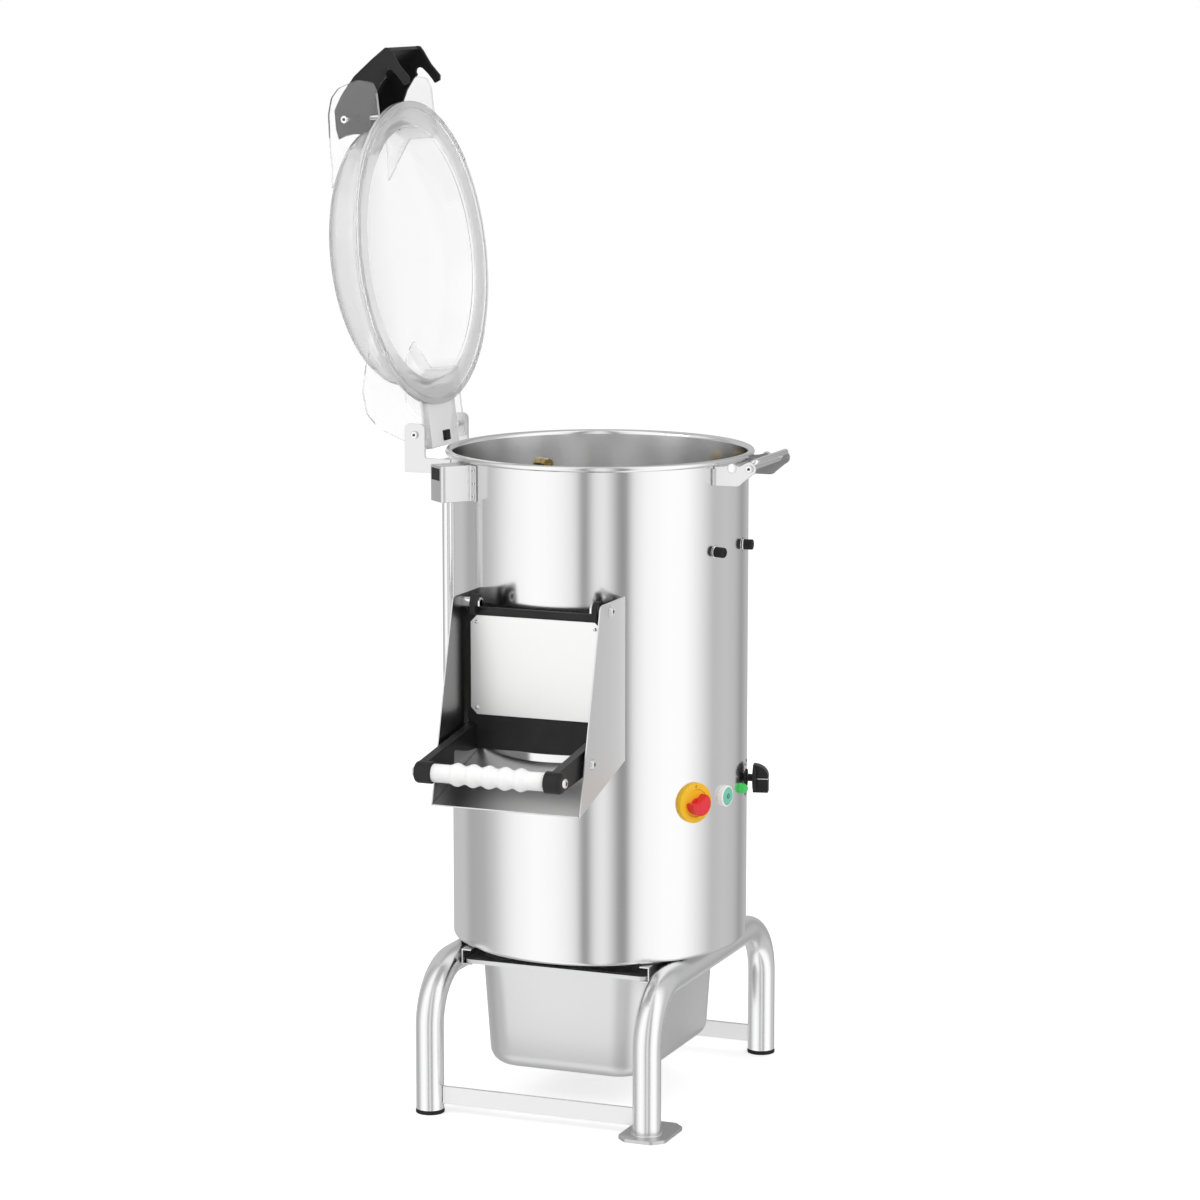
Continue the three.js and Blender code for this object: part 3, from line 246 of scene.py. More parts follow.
class Recipe(Nodes):
    """A material's node tree while it is being written."""

    def __init__(self, name: str) -> None:
        """Starts an empty material with one Principled surface.

        Args:
            name: Name of the material.
        """
        self.material = bpy.data.materials.new(name)
        self.material.use_nodes = True
        super().__init__(self.material.node_tree)
        self.surface = self.node("ShaderNodeBsdfPrincipled")
        self.output = self.node("ShaderNodeOutputMaterial")
        self.link(self.surface.outputs["BSDF"], self.output.inputs["Surface"])

    def place(self, scale: Sequence[float]) -> Socket:
        """Stretches the object's coordinates.

        Args:
            scale: Factor along X, Y and Z.

        Returns:
            The stretched coordinates' socket.
        """
        where = self.node("ShaderNodeTexCoord")
        stretch = self.node("ShaderNodeMapping", {"Scale": scale})
        self.link(where.outputs["Object"], stretch.inputs["Vector"])
        return stretch.outputs["Vector"]

    def noise(self, scale: Sequence[float], detail: float = 4, roughness: float = 0.55) -> Socket:
        """A noise pattern whose grain may be stretched.

        Args:
            scale: Repeats per metre along X, Y and Z.
            detail: Number of finer layers.
            roughness: Strength of the finer layers.

        Returns:
            The pattern's value socket.
        """
        made = self.node("ShaderNodeTexNoise", {"Scale": 1, "Detail": detail, "Roughness": roughness})
        self.link(self.place(scale), made.inputs["Vector"])
        return made.outputs["Fac"]

    def between(self, value: Socket, low: float, high: float) -> Socket:
        """Maps the middle of a pattern to a range.

        Args:
            value: The pattern.
            low: Result at 0.3.
            high: Result at 0.7.

        Returns:
            The mapped socket.
        """
        span = {"From Min": 0.3, "From Max": 0.7, "To Min": low, "To Max": high}
        made = self.node("ShaderNodeMapRange", span)
        self.link(value, made.inputs["Value"])
        return made.outputs["Result"]

    def shade(self, value: Socket, low: Sequence[float], high: Sequence[float]) -> Socket:
        """Blends two colours by a pattern.

        Args:
            value: The pattern.
            low: Colour at 0.3.
            high: Colour at 0.7.

        Returns:
            The colour socket.
        """
        ramp = self.node("ShaderNodeValToRGB")
        first, last = ramp.color_ramp.elements
        first.position, last.position = 0.3, 0.7
        first.color, last.color = (*low, 1), (*high, 1)
        self.link(value, ramp.inputs["Fac"])
        return ramp.outputs["Color"]

    def bump(self, height: Socket, strength: float, distance: float = 0.0002) -> None:
        """Raises the surface by a pattern.

        Args:
            height: The pattern.
            strength: Share of the full effect.
            distance: Height of the pattern in metres.
        """
        made = self.node("ShaderNodeBump", {"Strength": strength, "Distance": distance})
        self.link(height, made.inputs["Height"])
        self.link(made.outputs["Normal"], self.surface.inputs["Normal"])

    def set(self, **values: float) -> None:
        """Sets constants on the surface, with underscores for spaces."""
        for key, value in values.items():
            self.surface.inputs[key.replace("_", " ")].default_value = value

    def feed(self, name: str, value: Socket) -> None:
        """Links a pattern to one of the surface's sockets."""
        self.link(value, self.surface.inputs[name])


class Finish:
    """A finish that makes its material once and then shares it."""

    name: str
    slot: str

    def material(self) -> bpy.types.Material:
        """The finish's material, made on first use."""
        return bpy.data.materials.get(self.name) or self.write(Recipe(self.name))

    def write(self, recipe: Recipe) -> bpy.types.Material:
        """Fills the recipe in; each finish has its own way."""
        raise NotImplementedError


@dataclass(frozen=True)
class Steel(Finish):
    """Stainless sheet or tube with a drawn grain and soft blotches of wear."""

    name: str
    slot: str
    tint: tuple[float, float, float] = (0.80, 0.80, 0.80)
    spread: float = 0.014
    rough: tuple[float, float] = (0.13, 0.18)
    grain: tuple[float, float, float] = (2400, 2400, 9)
    bump: float = 0.02

    def write(self, recipe: Recipe) -> bpy.types.Material:
        """Writes the grain into colour, gloss and bump.

        Args:
            recipe: The empty material.

        Returns:
            The finished material.
        """
        drawn = recipe.noise(self.grain, detail=6, roughness=0.6)
        blotch = recipe.noise((9, 9, 5), detail=3)
        mixed = recipe.node("ShaderNodeMath", {1: 0.65}, operation="MULTIPLY_ADD")
        recipe.link(drawn, mixed.inputs[0])
        share = recipe.node("ShaderNodeMath", {1: 0.35}, operation="MULTIPLY")
        recipe.link(blotch, share.inputs[0])
        recipe.link(share.outputs[0], mixed.inputs[2])
        low = tuple(c - self.spread for c in self.tint)
        high = tuple(c + self.spread for c in self.tint)
        recipe.feed("Base Color", recipe.shade(mixed.outputs[0], low, high))
        recipe.feed("Roughness", recipe.between(mixed.outputs[0], *self.rough))
        recipe.bump(drawn, self.bump, 0.00005)
        recipe.set(Metallic=1.0)
        return recipe.material


@dataclass(frozen=True)
class Plastic(Finish):
    """A moulded plastic with a fine skin and slight mottling."""

    name: str
    slot: str
    colour: tuple[float, float, float]
    spread: float = 0.1
    rough: tuple[float, float] = (0.3, 0.45)
    skin: float = 700
    bump: float = 0.12
    shine: float = 0.5

    def write(self, recipe: Recipe) -> bpy.types.Material:
        """Writes mottling, gloss and skin.

        Args:
            recipe: The empty material.

        Returns:
            The finished material.
        """
        mottle = recipe.noise((40, 40, 40), detail=5)
        skin = recipe.noise((self.skin,) * 3, detail=3)
        low = tuple(max(0.0, c * (1 - self.spread)) for c in self.colour)
        high = tuple(min(1.0, c * (1 + self.spread)) for c in self.colour)
        recipe.feed("Base Color", recipe.shade(mottle, low, high))
        recipe.feed("Roughness", recipe.between(skin, *self.rough))
        recipe.bump(skin, self.bump, 0.00008)
        recipe.set(Specular_IOR_Level=self.shine)
        return recipe.material


@dataclass(frozen=True)
class ClearMoulding(Finish):
    """Clear polycarbonate with a painted grey shade where it is seen edge-on, and faint wipe marks."""

    name: str
    slot: str
    face: float = 0.98
    # Grey of the painted shade where the surface is seen edge-on.
    rim: float = 0.1
    rough: tuple[float, float] = (0.0, 0.02)
    index: float = 1.25
    clear: float = 0.92

    def write(self, recipe: Recipe) -> bpy.types.Material:
        """Writes the painted edge-on shade, by facing, and the wipe marks.

        Args:
            recipe: The empty material.

        Returns:
            The finished material.
        """
        # Painted shade: the colour greys as the surface turns edge-on to the eye, standing in for the dark
        # outlines that refraction draws in clear plastic.
        facing = recipe.node("ShaderNodeLayerWeight", {"Blend": 0.35})
        ramp = recipe.node("ShaderNodeValToRGB")
        first, last = ramp.color_ramp.elements
        first.color = (self.face, self.face, self.face, 1)
        last.color = (self.rim, self.rim, self.rim * 1.02, 1)
        first.position, last.position = 0.36, 0.84
        recipe.link(facing.outputs["Facing"], ramp.inputs["Fac"])
        recipe.feed("Base Color", ramp.outputs["Color"])
        wiped = recipe.noise((60, 18, 60), detail=5)
        recipe.feed("Roughness", recipe.between(wiped, *self.rough))
        recipe.bump(recipe.noise((14, 14, 14), detail=2), 0.05, 0.0005)
        recipe.set(Transmission_Weight=self.clear, IOR=self.index)
        return recipe.material


@dataclass(frozen=True)
class Brass(Finish):
    """Turned brass with a slightly darker bloom."""

    name: str = "brass_turned"
    slot: str = "brass"

    def write(self, recipe: Recipe) -> bpy.types.Material:
        """Writes the bloom and the turning marks.

        Args:
            recipe: The empty material.

        Returns:
            The finished material.
        """
        bloom = recipe.noise((70, 70, 70), detail=5)
        recipe.feed("Base Color", recipe.shade(bloom, (0.48, 0.33, 0.09), (0.72, 0.53, 0.2)))
        recipe.feed("Roughness", recipe.between(bloom, 0.22, 0.38))
        recipe.bump(recipe.noise((60, 60, 1500), detail=3), 0.15, 0.00005)
        recipe.set(Metallic=1.0)
        return recipe.material


@dataclass(frozen=True)
class Grit(Finish):
    """Coarse abrasive grains in a dark binder."""

    name: str = "abrasive_grit"
    slot: str = "abrasive"

    def write(self, recipe: Recipe) -> bpy.types.Material:
        """Writes grains in colour, roughness and bump.

        Args:
            recipe: The empty material.

        Returns:
            The finished material.
        """
        grains = recipe.node("ShaderNodeTexVoronoi", {"Scale": 420.0})
        recipe.link(recipe.place((1, 1, 1)), grains.inputs["Vector"])
        binder = recipe.shade(grains.outputs["Distance"], (0.12, 0.11, 0.1), (0.03, 0.03, 0.03))
        recipe.feed("Base Color", binder)
        recipe.feed("Roughness", recipe.between(recipe.noise((300, 300, 300)), 0.7, 0.95))
        recipe.bump(grains.outputs["Distance"], 0.9, 0.0012)
        return recipe.material


FLAT_GRAIN = (9, 1500, 1500)
DRUM_STEEL = Steel("steel_drum", "brushed_steel", tint=(0.83, 0.83, 0.83))
INNER_STEEL = Steel("steel_drum_inside", "brushed_steel", tint=(0.78,) * 3, rough=(0.12, 0.18), bump=0.006)
SHEET_STEEL = Steel("steel_sheet_bright", "brushed_steel", tint=(0.76,) * 3, rough=(0.26, 0.36), bump=0.04)
# A dark copy of the sheet steel, painted on as shade: on the chute plates' inner faces and between the catch
# ears.
SHADED_STEEL = Steel("steel_sheet_shaded", "brushed_steel", tint=(0.36,) * 3, rough=(0.26, 0.36), bump=0.04)
PLATE_STEEL = Steel("steel_chute_plate", "brushed_steel", tint=(0.82,) * 3, rough=(0.42, 0.52), bump=0.04)
BED_STEEL = Steel("steel_chute_bed", "brushed_steel", tint=(0.7,) * 3, rough=(0.28, 0.38), grain=FLAT_GRAIN)
TUBE_STEEL = Steel("steel_polished", "polished_steel", tint=(0.86, 0.86, 0.865), rough=(0.13, 0.2))
LEG_STEEL = Steel("steel_leg", "polished_steel", tint=(0.87, 0.87, 0.875), rough=(0.2, 0.28))
FOOT_STEEL = Steel("steel_foot_plate", "sheet_steel", tint=(0.6, 0.6, 0.6), rough=(0.3, 0.4), bump=0.04)
RAIL_STEEL = Steel("steel_rail", "polished_steel", tint=(0.86,) * 3, rough=(0.42, 0.52), grain=FLAT_GRAIN)
PAN_STEEL = Steel("steel_pan", "sheet_steel", tint=(0.74, 0.74, 0.745), rough=(0.36, 0.46), bump=0.05)
FACE_STEEL = Steel("steel_face_plate", "plate_steel", tint=(0.96, 0.96, 0.955), rough=(0.4, 0.5))
IRON = Steel("iron_painted", "cast_iron", (0.1, 0.105, 0.11), rough=(0.5, 0.7), grain=(220,) * 3, bump=0.6)
BLACK = Plastic("plastic_black", "black_plastic", (0.013,) * 3, spread=0.25, rough=(0.36, 0.5), shine=0.3)
WHITE = Plastic("plastic_white", "white_plastic", (0.97, 0.97, 0.965), spread=0.02, rough=(0.2, 0.32))
YELLOW = Plastic("plastic_yellow", "yellow_plastic", (1.0, 0.58, 0.025), 0.03, rough=(0.3, 0.42), shine=0.3)
RED = Plastic("plastic_red", "red_plastic", (0.84, 0.03, 0.045), spread=0.08, rough=(0.25, 0.36), shine=0.4)
GREEN = Plastic("plastic_green", "green_plastic", (0.2, 0.64, 0.48), spread=0.06, rough=(0.3, 0.42))
DARK_GREEN = Plastic("plastic_green_deep", "green_plastic", (0.02, 0.3, 0.2), spread=0.08, rough=(0.3, 0.42))
LAMP = Plastic("lens_green", "lamp_green", (0.05, 0.62, 0.11), spread=0.15, rough=(0.08, 0.16), bump=0.05)
INK = Plastic("ink_black", "black_plastic", (0.03, 0.03, 0.03), spread=0.1, rough=(0.5, 0.6))
CHALK = Plastic("ink_white", "white_plastic", (0.8, 0.8, 0.78), spread=0.04, rough=(0.4, 0.5))
RUBBER = Plastic("rubber_black", "rubber", (0.014,) * 3, spread=0.3, rough=(0.6, 0.8), bump=0.3, shine=0.3)
# Both clear finishes carry the painted edge-on shade; the satin one is the frosted flange, with a weaker shade.
CLEAR = ClearMoulding("moulding_clear", "clear_plastic")
SATIN = ClearMoulding("moulding_satin", "clear_plastic", face=0.9, rim=0.35, rough=(0.08, 0.12), clear=0.5)
BRASS = Brass()
GRIT = Grit()


# Making solids


def only(geometry: Iterable, kind: type) -> list:
    """The vertices or the edges among what an operator gives back."""
    return [item for item in geometry if isinstance(item, kind)]


def round_off(mesh: bmesh.types.BMesh, geometry: list, radius: float, segments: int, affect: str) -> None:
    """Rounds corners or edges.

    Args:
        mesh: The mesh.
        geometry: Its vertices or edges to round.
        radius: Size of the rounding.
        segments: Facets of each rounding.
        affect: VERTICES for the corners of a flat outline, or EDGES.
    """
    bmesh.ops.bevel(mesh, geom=geometry, offset=radius, offset_type="OFFSET", segments=segments, profile=0.5,
                    affect=affect, material=-1)


def push_faces(mesh: bmesh.types.BMesh, way: Sequence[float]) -> None:
    """Gives a flat mesh its thickness along a way."""
    pushed = bmesh.ops.extrude_face_region(mesh, geom=mesh.faces[:])
    bmesh.ops.translate(mesh, verts=only(pushed["geom"], bmesh.types.BMVert), vec=way)


def draw_edges(mesh: bmesh.types.BMesh, edges: list, way: Sequence[float]) -> list:
    """Draws a ring of edges straight along a way.

    Args:
        mesh: The mesh that holds them.
        edges: The ring.
        way: Direction and length.

    Returns:
        The ring at the far end.
    """
    drawn = bmesh.ops.extrude_edge_only(mesh, edges=edges)["geom"]
    bmesh.ops.translate(mesh, verts=only(drawn, bmesh.types.BMVert), vec=way)
    return only(drawn, bmesh.types.BMEdge)


@dataclass
class Workpiece:
    """A solid under construction, in millimetres about the drum's axis."""

    mesh: bmesh.types.BMesh = field(default_factory=bmesh.new)
    patches: list[Finish] = field(default_factory=list)

    def absorb(self, part: bmesh.types.BMesh, turn: Matrix | None = None) -> Workpiece:
        """Closes a part's seams, turns its faces outwards and takes it in.

        Args:
            part: The part, freed afterwards.
            turn: Where the part goes.

        Returns:
            This workpiece.
        """
        bmesh.ops.remove_doubles(part, verts=part.verts[:], dist=0.0005)
        bmesh.ops.recalc_face_normals(part, faces=part.faces[:])
        carrier = bpy.data.meshes.new("carrier")
        part.to_mesh(carrier)
        part.free()
        if turn is not None:
            carrier.transform(turn)
            if turn.is_negative:
                carrier.flip_normals()
        self.mesh.from_mesh(carrier)
        bpy.data.meshes.remove(carrier)
        return self

    def turned(self, profile: Sequence[Point2], steps: int = 48, turn: Matrix | None = None) -> Workpiece:
        """Spins a profile of (radius, height) about Z.

        Args:
            profile: Closed round, or open where both ends lie on the axis.
            steps: Facets of the full turn.
            turn: Where the part goes.

        Returns:
            This workpiece.
        """
        part = bmesh.new()
        points = [part.verts.new((r, 0, z)) for r, z in profile]
        ends_on_axis = profile[0][0] == 0 and profile[-1][0] == 0
        followers = points[1:] if ends_on_axis else points[1:] + points[:1]
        edges = [part.edges.new(pair) for pair in zip(points, followers)]
        bmesh.ops.spin(part, geom=points + edges, cent=(0, 0, 0), axis=(0, 0, 1), dvec=(0, 0, 0),
                       angle=math.tau, steps=steps, use_merge=True, use_duplicate=False)
        return self.absorb(part, turn)

    def rod(self, radius: float, low: float, high: float, turn: Matrix | None = None,
            steps: int = 32) -> Workpiece:
        """A round bar along Z between two heights."""
        return self.turned([(0, low), (radius, low), (radius, high), (0, high)], steps, turn)

    def ring(self, inner: float, outer: float, low: float, high: float, turn: Matrix | None = None,
             steps: int = 48) -> Workpiece:
        """A square-edged ring about Z."""
        return self.turned([(inner, low), (outer, low), (outer, high), (inner, high)], steps, turn)

    def block(self, low: Sequence[float], high: Sequence[float], turn: Matrix | None = None) -> Workpiece:
        """A box between two corners.

        Args:
            low: Lowest corner.
            high: Highest corner.
            turn: Where the part goes.

        Returns:
            This workpiece.
        """
        part = bmesh.new()
        size = Vector(high) - Vector(low)
        middle = (Vector(high) + Vector(low)) / 2
        bmesh.ops.create_cube(part, size=1, matrix=Matrix.Translation(middle) @ Matrix.Diagonal((*size, 1)))
        return self.absorb(part, turn)

    def slab(self, outline: Iterable[Point2], low: float, high: float, plane: Plane = Plane.XY,
             turn: Matrix | None = None, soften: float = 0) -> Workpiece:
        """Pushes an outline from one depth to another.

        Args:
            outline: Points of the face.
            low: First depth.
            high: Last depth.
            plane: Plane the outline is drawn in.
            turn: Where the part goes.
            soften: Rounding of the outline's corners.

        Returns:
            This workpiece.
        """
        part = bmesh.new()
        part.faces.new([part.verts.new(plane.point(a, b, low)) for a, b in outline])
        if soften:
            round_off(part, part.verts[:], soften, 5, "VERTICES")
        push_faces(part, plane.point(0, 0, high - low))
        return self.absorb(part, turn)

    def tube(self, corners: Sequence[Sequence[float]], bend: float, radius: float, sides: int = 32,
             turn: Matrix | None = None) -> Workpiece:
        """A rod through corner points, bent round each corner between them.

        Args:
            corners: Start, corners and end.
            bend: Radius of the bends.
            radius: Radius of the rod.
            sides: Facets round the rod.
            turn: Where the part goes.

        Returns:
            This workpiece.
        """
        part = bmesh.new()
        points = [Vector(point) for point in corners]
        heading = (points[1] - points[0]).normalized()
        aim = Matrix.Translation(points[0]) @ heading.to_track_quat("Z", "Y").to_matrix().to_4x4()
        bmesh.ops.create_circle(part, cap_ends=True, radius=radius, segments=sides, matrix=aim)
        edges, here = part.edges[:], points[0]
        for corner, beyond in zip(points[1:-1], points[2:]):
            before, after = (here - corner).normalized(), (beyond - corner).normalized()
            half = before.angle(after) / 2
            enter = corner + before * bend / math.tan(half)
            edges = draw_edges(part, edges, enter - here)
            centre = corner + (before + after).normalized() * bend / math.sin(half)
            ends = {vert for edge in edges for vert in edge.verts}
            spun = bmesh.ops.spin(part, geom=[*ends, *edges], cent=centre, axis=after.cross(before),
                                  dvec=(0, 0, 0), angle=math.pi - 2 * half, steps=14, use_duplicate=False)
            edges = only(spun["geom_last"], bmesh.types.BMEdge)
            here = corner + after * bend / math.tan(half)
        edges = draw_edges(part, edges, points[-1] - here)
        bmesh.ops.edgeloop_fill(part, edges=edges)
        return self.absorb(part, turn)

    def copied(self, node: str, turn: Matrix | None = None) -> Workpiece:
        """Takes in a merged copy of a CAD node.

        Args:
            node: Its name.
            turn: Where the copy goes after it is back in the machine's millimetres.

        Returns:
            This workpiece.
        """
        part = bmesh.new()
        part.from_mesh(bpy.data.objects[node].data)
        bmesh.ops.transform(part, matrix=machine_matrix().inverted(), verts=part.verts[:])
        bmesh.ops.remove_doubles(part, verts=part.verts[:], dist=0.002)
        bmesh.ops.dissolve_limit(part, angle_limit=math.radians(1.5), verts=part.verts[:],
                                 edges=part.edges[:], use_dissolve_boundaries=False)
        return self.absorb(part, turn)

    def paint(self, finish: Finish, inside: Callable[[Vector, Vector], bool]) -> Workpiece:
        """Gives some faces a finish of their own.

        Args:
            finish: Their finish, from the same slot as the rest.
            inside: Tells from a face's middle and normal whether it is one of them.

        Returns:
            This workpiece.
        """
        self.patches.append(finish)
        self.mesh.normal_update()
        for face in self.mesh.faces:
            if inside(face.calc_center_median(), face.normal):
                face.material_index = len(self.patches)
        return self

    def become(self, name: str, finish: Finish, body: Body, replaces: Sequence[str] = (), edge: float = 0.4,
               crease: float = 32, place: Matrix | None = None) -> bpy.types.Object:
        """Turns the work into a piece of the model.

        Args:
            name: Name of the piece.
            finish: Its finish.
            body: The body that it rides on.
            replaces: CAD nodes that it stands for.
            edge: Rounding of its edges in millimetres, or 0 for none.
            crease: Angle in degrees past which an edge stays sharp.
            place: A last move, in millimetres.

        Returns:
            The piece.
        """
        if place is not None:
            bmesh.ops.transform(self.mesh, matrix=place, verts=self.mesh.verts[:])
        bmesh.ops.transform(self.mesh, matrix=machine_matrix(), verts=self.mesh.verts[:])
        data = bpy.data.meshes.new(name)
        self.mesh.to_mesh(data)
        self.mesh.free()
        data.polygons.foreach_set("use_smooth", [True] * len(data.polygons))
        data.set_sharp_from_angle(angle=math.radians(crease))
        piece = bpy.data.objects.new(name, data)
        bpy.context.scene.collection.objects.link(piece)
        for coat in (finish, *self.patches):
            data.materials.append(coat.material())
        if edge:
            round_over = piece.modifiers.new("round_over", "BEVEL")
            round_over.width, round_over.segments = edge / 1000, 2
            round_over.limit_method, round_over.angle_limit = "ANGLE", math.radians(crease)
            round_over.harden_normals = True
        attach(piece, body.value)
        if replaces:
            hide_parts(*replaces)
        LOG.info("made %s", name)
        return piece


def dress(node: str, finish: Finish) -> None:
    """Gives a CAD node that stays in view its finish.

    Args:
        node: The node's name.
        finish: Its finish.
    """
    piece = bpy.data.objects[node]
    piece.data.materials.clear()
    piece.data.materials.append(finish.material())


@dataclass
class Screws:
    """Round screw heads with a thin black disc in each socket as painted shade, gathered until they are placed
    on a body.
    """

    heads: Workpiece = field(default_factory=Workpiece)
    socket_shade: Workpiece = field(default_factory=Workpiece)

    def add(self, turn: Matrix, low: float, radius: float, height: float) -> Screws:
        """Puts a head on a plate.

        Args:
            turn: Brings the Z axis onto the screw's axis.
            low: Where the head starts along the axis.
            radius: Radius of the head.
            height: Height of the head.

        Returns:
            These screws.
        """
        top, bite = low + height, low + height * 0.45
        soft, hole = min(radius, height) * 0.45, radius * 0.42
        self.heads.turned([(0, low), (radius, low), *arc((radius - soft, top - soft), soft, 0, 90, 4),
                           (hole, top), (hole, bite), (0, bite)], 32, turn)
        # Painted shade: a thin black disc on the socket's floor stands in for the dark inside the recess.
        self.socket_shade.rod(hole * 0.97, bite, bite + 0.15, turn, 6)
        return self

    def become(self, name: str, body: Body, replaces: Sequence[str] = ()) -> None:
        """Places the heads and the painted socket shade.

        Args:
            name: Name of the heads; the name of the painted socket shade follows from it.
            body: The body that they ride on.
            replaces: CAD nodes that the heads stand for.
        """
        self.heads.become(name, TUBE_STEEL, body, replaces, edge=0, crease=40)
        self.socket_shade.become(f"{name}_sockets", INK, body, edge=0)


# Studio


@dataclass
class Studio:
    """White sweep, soft lamps and the camera of the photograph."""

    azimuth: float = 22.0
    distance: float = 5.3445
    height: float = 1.5462
    pitch: float = 9.29
    lens: float = 120.14
    mirrored_light: float = 1.2
    soft_light: float = 0.68
    floor_glow: float = 0.54
    floor_radius: float = 30
    aim_height: float = 0.7
    bands: tuple[tuple[float, int], ...] = (
        (-180, 175), (-139, 185), (-112, 190), (-100, 165), (-81, 173), (-69, 197), (-59, 225), (-49, 243),
        (-31, 254), (-14, 250), (-4, 240), (4, 222), (8.5, 132), (12, 140), (17, 222), (25, 236), (31, 205),
        (37, 138), (42, 134), (47, 226), (57, 248), (75, 255), (91, 254), (101, 238), (111, 214), (120, 184),
        (136, 193), (152, 184), (165, 150), (180, 175),
    )

    def build(self) -> None:
        """Sets up camera, world, floor and lamps."""
        self.camera()
        self.world()
        self.floor()
        self.lamp("lamp_key", (-2.2, -2.6, 3.2), size=2.4, power=56)
        self.lamp("lamp_fill", (2.8, -1.8, 2.2), size=2.4, power=32)
        self.lamp("lamp_back", (0.4, 3.0, 2.8), size=2.6, power=24)
        bpy.context.scene.view_settings.view_transform = "Standard"

    def camera(self) -> None:
        """Places the camera at the photograph's viewpoint."""
        axis = machine_matrix().translation
        turn = math.radians(self.azimuth)
        data = bpy.data.cameras.new("camera")
        data.lens, data.sensor_width = self.lens, 36.0
        data.clip_start, data.clip_end = 0.1, 60.0
        eye = bpy.data.objects.new("camera", data)
        away = self.distance
        eye.location = (axis.x + away * math.sin(turn), axis.y - away * math.cos(turn), self.height)
        eye.rotation_euler = (math.radians(90 - self.pitch), 0, turn)
        bpy.context.scene.collection.objects.link(eye)
        bpy.context.scene.camera = eye

    def world(self) -> None:
        """White to the eye and through clear pieces, with soft upright bands for what metal mirrors."""
        world = bpy.data.worlds.new("studio")
        bpy.context.scene.world = world
        world.use_nodes = True
        tree = Nodes(world.node_tree)
        where, split = tree.node("ShaderNodeTexCoord"), tree.node("ShaderNodeSeparateXYZ")
        tree.link(where.outputs["Generated"], split.inputs[0])
        front = tree.node("ShaderNodeMath", {1: -1}, operation="MULTIPLY")
        tree.link(split.outputs["Y"], front.inputs[0])
        bearing = tree.node("ShaderNodeMath", operation="ARCTAN2")
        tree.link(split.outputs["X"], bearing.inputs[0])
        tree.link(front.outputs[0], bearing.inputs[1])
        share = tree.node("ShaderNodeMapRange", {"From Min": -math.pi, "From Max": math.pi})
        tree.link(bearing.outputs[0], share.inputs["Value"])
        ramp = tree.node("ShaderNodeValToRGB")
        self.fill_bands(ramp.color_ramp)
        tree.link(share.outputs["Result"], ramp.inputs["Fac"])
        mirrored = tree.node("ShaderNodeBackground", {"Strength": self.mirrored_light})
        tree.link(ramp.outputs["Color"], mirrored.inputs["Color"])
        soft = tree.node("ShaderNodeBackground", {"Color": WHITE_LIGHT, "Strength": self.soft_light})
        seen = tree.node("ShaderNodeBackground", {"Color": WHITE_LIGHT})
        glossy = tree.node("ShaderNodeLightPath").outputs["Is Glossy Ray"]
        lit = tree.blend(glossy, soft.outputs[0], mirrored.outputs[0])
        shown = tree.blend(tree.in_view(), lit, seen.outputs[0])
        tree.link(shown, tree.node("ShaderNodeOutputWorld").inputs["Surface"])

    def fill_bands(self, ramp: bpy.types.ColorRamp) -> None:
        """Writes the studio's upright bands into a ramp.

        Args:
            ramp: Runs once round the horizon, from the back over the hinge side.
        """
        while len(ramp.elements) > 1:
            ramp.elements.remove(ramp.elements[-1])
        for index, (bearing, level) in enumerate(self.bands):
            stop = ramp.elements[0] if index == 0 else ramp.elements.new((bearing + 180) / 360)
            stop.position = (bearing + 180) / 360
            grey = self.linear(level)
            stop.color = (grey, grey, grey, 1)

    @staticmethod
    def linear(level: float) -> float:
        """Light of a grey level from 0 to 255."""
        share = level / 255
        return share / 12.92 if share <= 0.04045 else ((share + 0.055) / 1.055) ** 2.4

    def floor(self) -> None:
        """A pale floor that turns white to the eye and keeps the shadow."""
        data = bpy.data.meshes.new("floor")
        sheet = bmesh.new()
        bmesh.ops.create_circle(sheet, cap_ends=True, radius=self.floor_radius, segments=64)
        sheet.to_mesh(data)
        sheet.free()
        floor = bpy.data.objects.new("floor", data)
        bpy.context.scene.collection.objects.link(floor)
        recipe = Recipe("floor_paper")
        recipe.set(Roughness=0.9, Specular_IOR_Level=0.0)
        recipe.feed("Base Color", recipe.shade(recipe.noise((3, 3, 3)), (0.7, 0.7, 0.7), (0.71, 0.71, 0.71)))
        glow = recipe.node("ShaderNodeEmission", {"Strength": self.floor_glow})
        plain = recipe.node("ShaderNodeEmission", {"Strength": 0.0})
        total = recipe.node("ShaderNodeAddShader")
        recipe.link(recipe.surface.outputs[0], total.inputs[0])
        recipe.link(recipe.blend(recipe.in_view(), plain.outputs[0], glow.outputs[0]), total.inputs[1])
        recipe.link(total.outputs[0], recipe.output.inputs["Surface"])
        data.materials.append(recipe.material)
        floor.visible_glossy = False

    def lamp(self, name: str, place: tuple[float, float, float], size: float, power: float) -> None:
        """Hangs a soft square lamp aimed at the machine's middle.

        Args:
            name: Name of the lamp.
            place: Where it hangs, in metres.
            size: Side of the square.
            power: Watts.
        """
        data = bpy.data.lights.new(name, "AREA")
        data.size, data.energy = size, power
        lamp = bpy.data.objects.new(name, data)
        lamp.location = place
        aim = Vector((0, 0, self.aim_height)) - Vector(place)
        lamp.rotation_euler = aim.to_track_quat("-Z", "Y").to_euler()
        lamp.visible_glossy = False
        bpy.context.scene.collection.objects.link(lamp)


# Drum and what turns in it


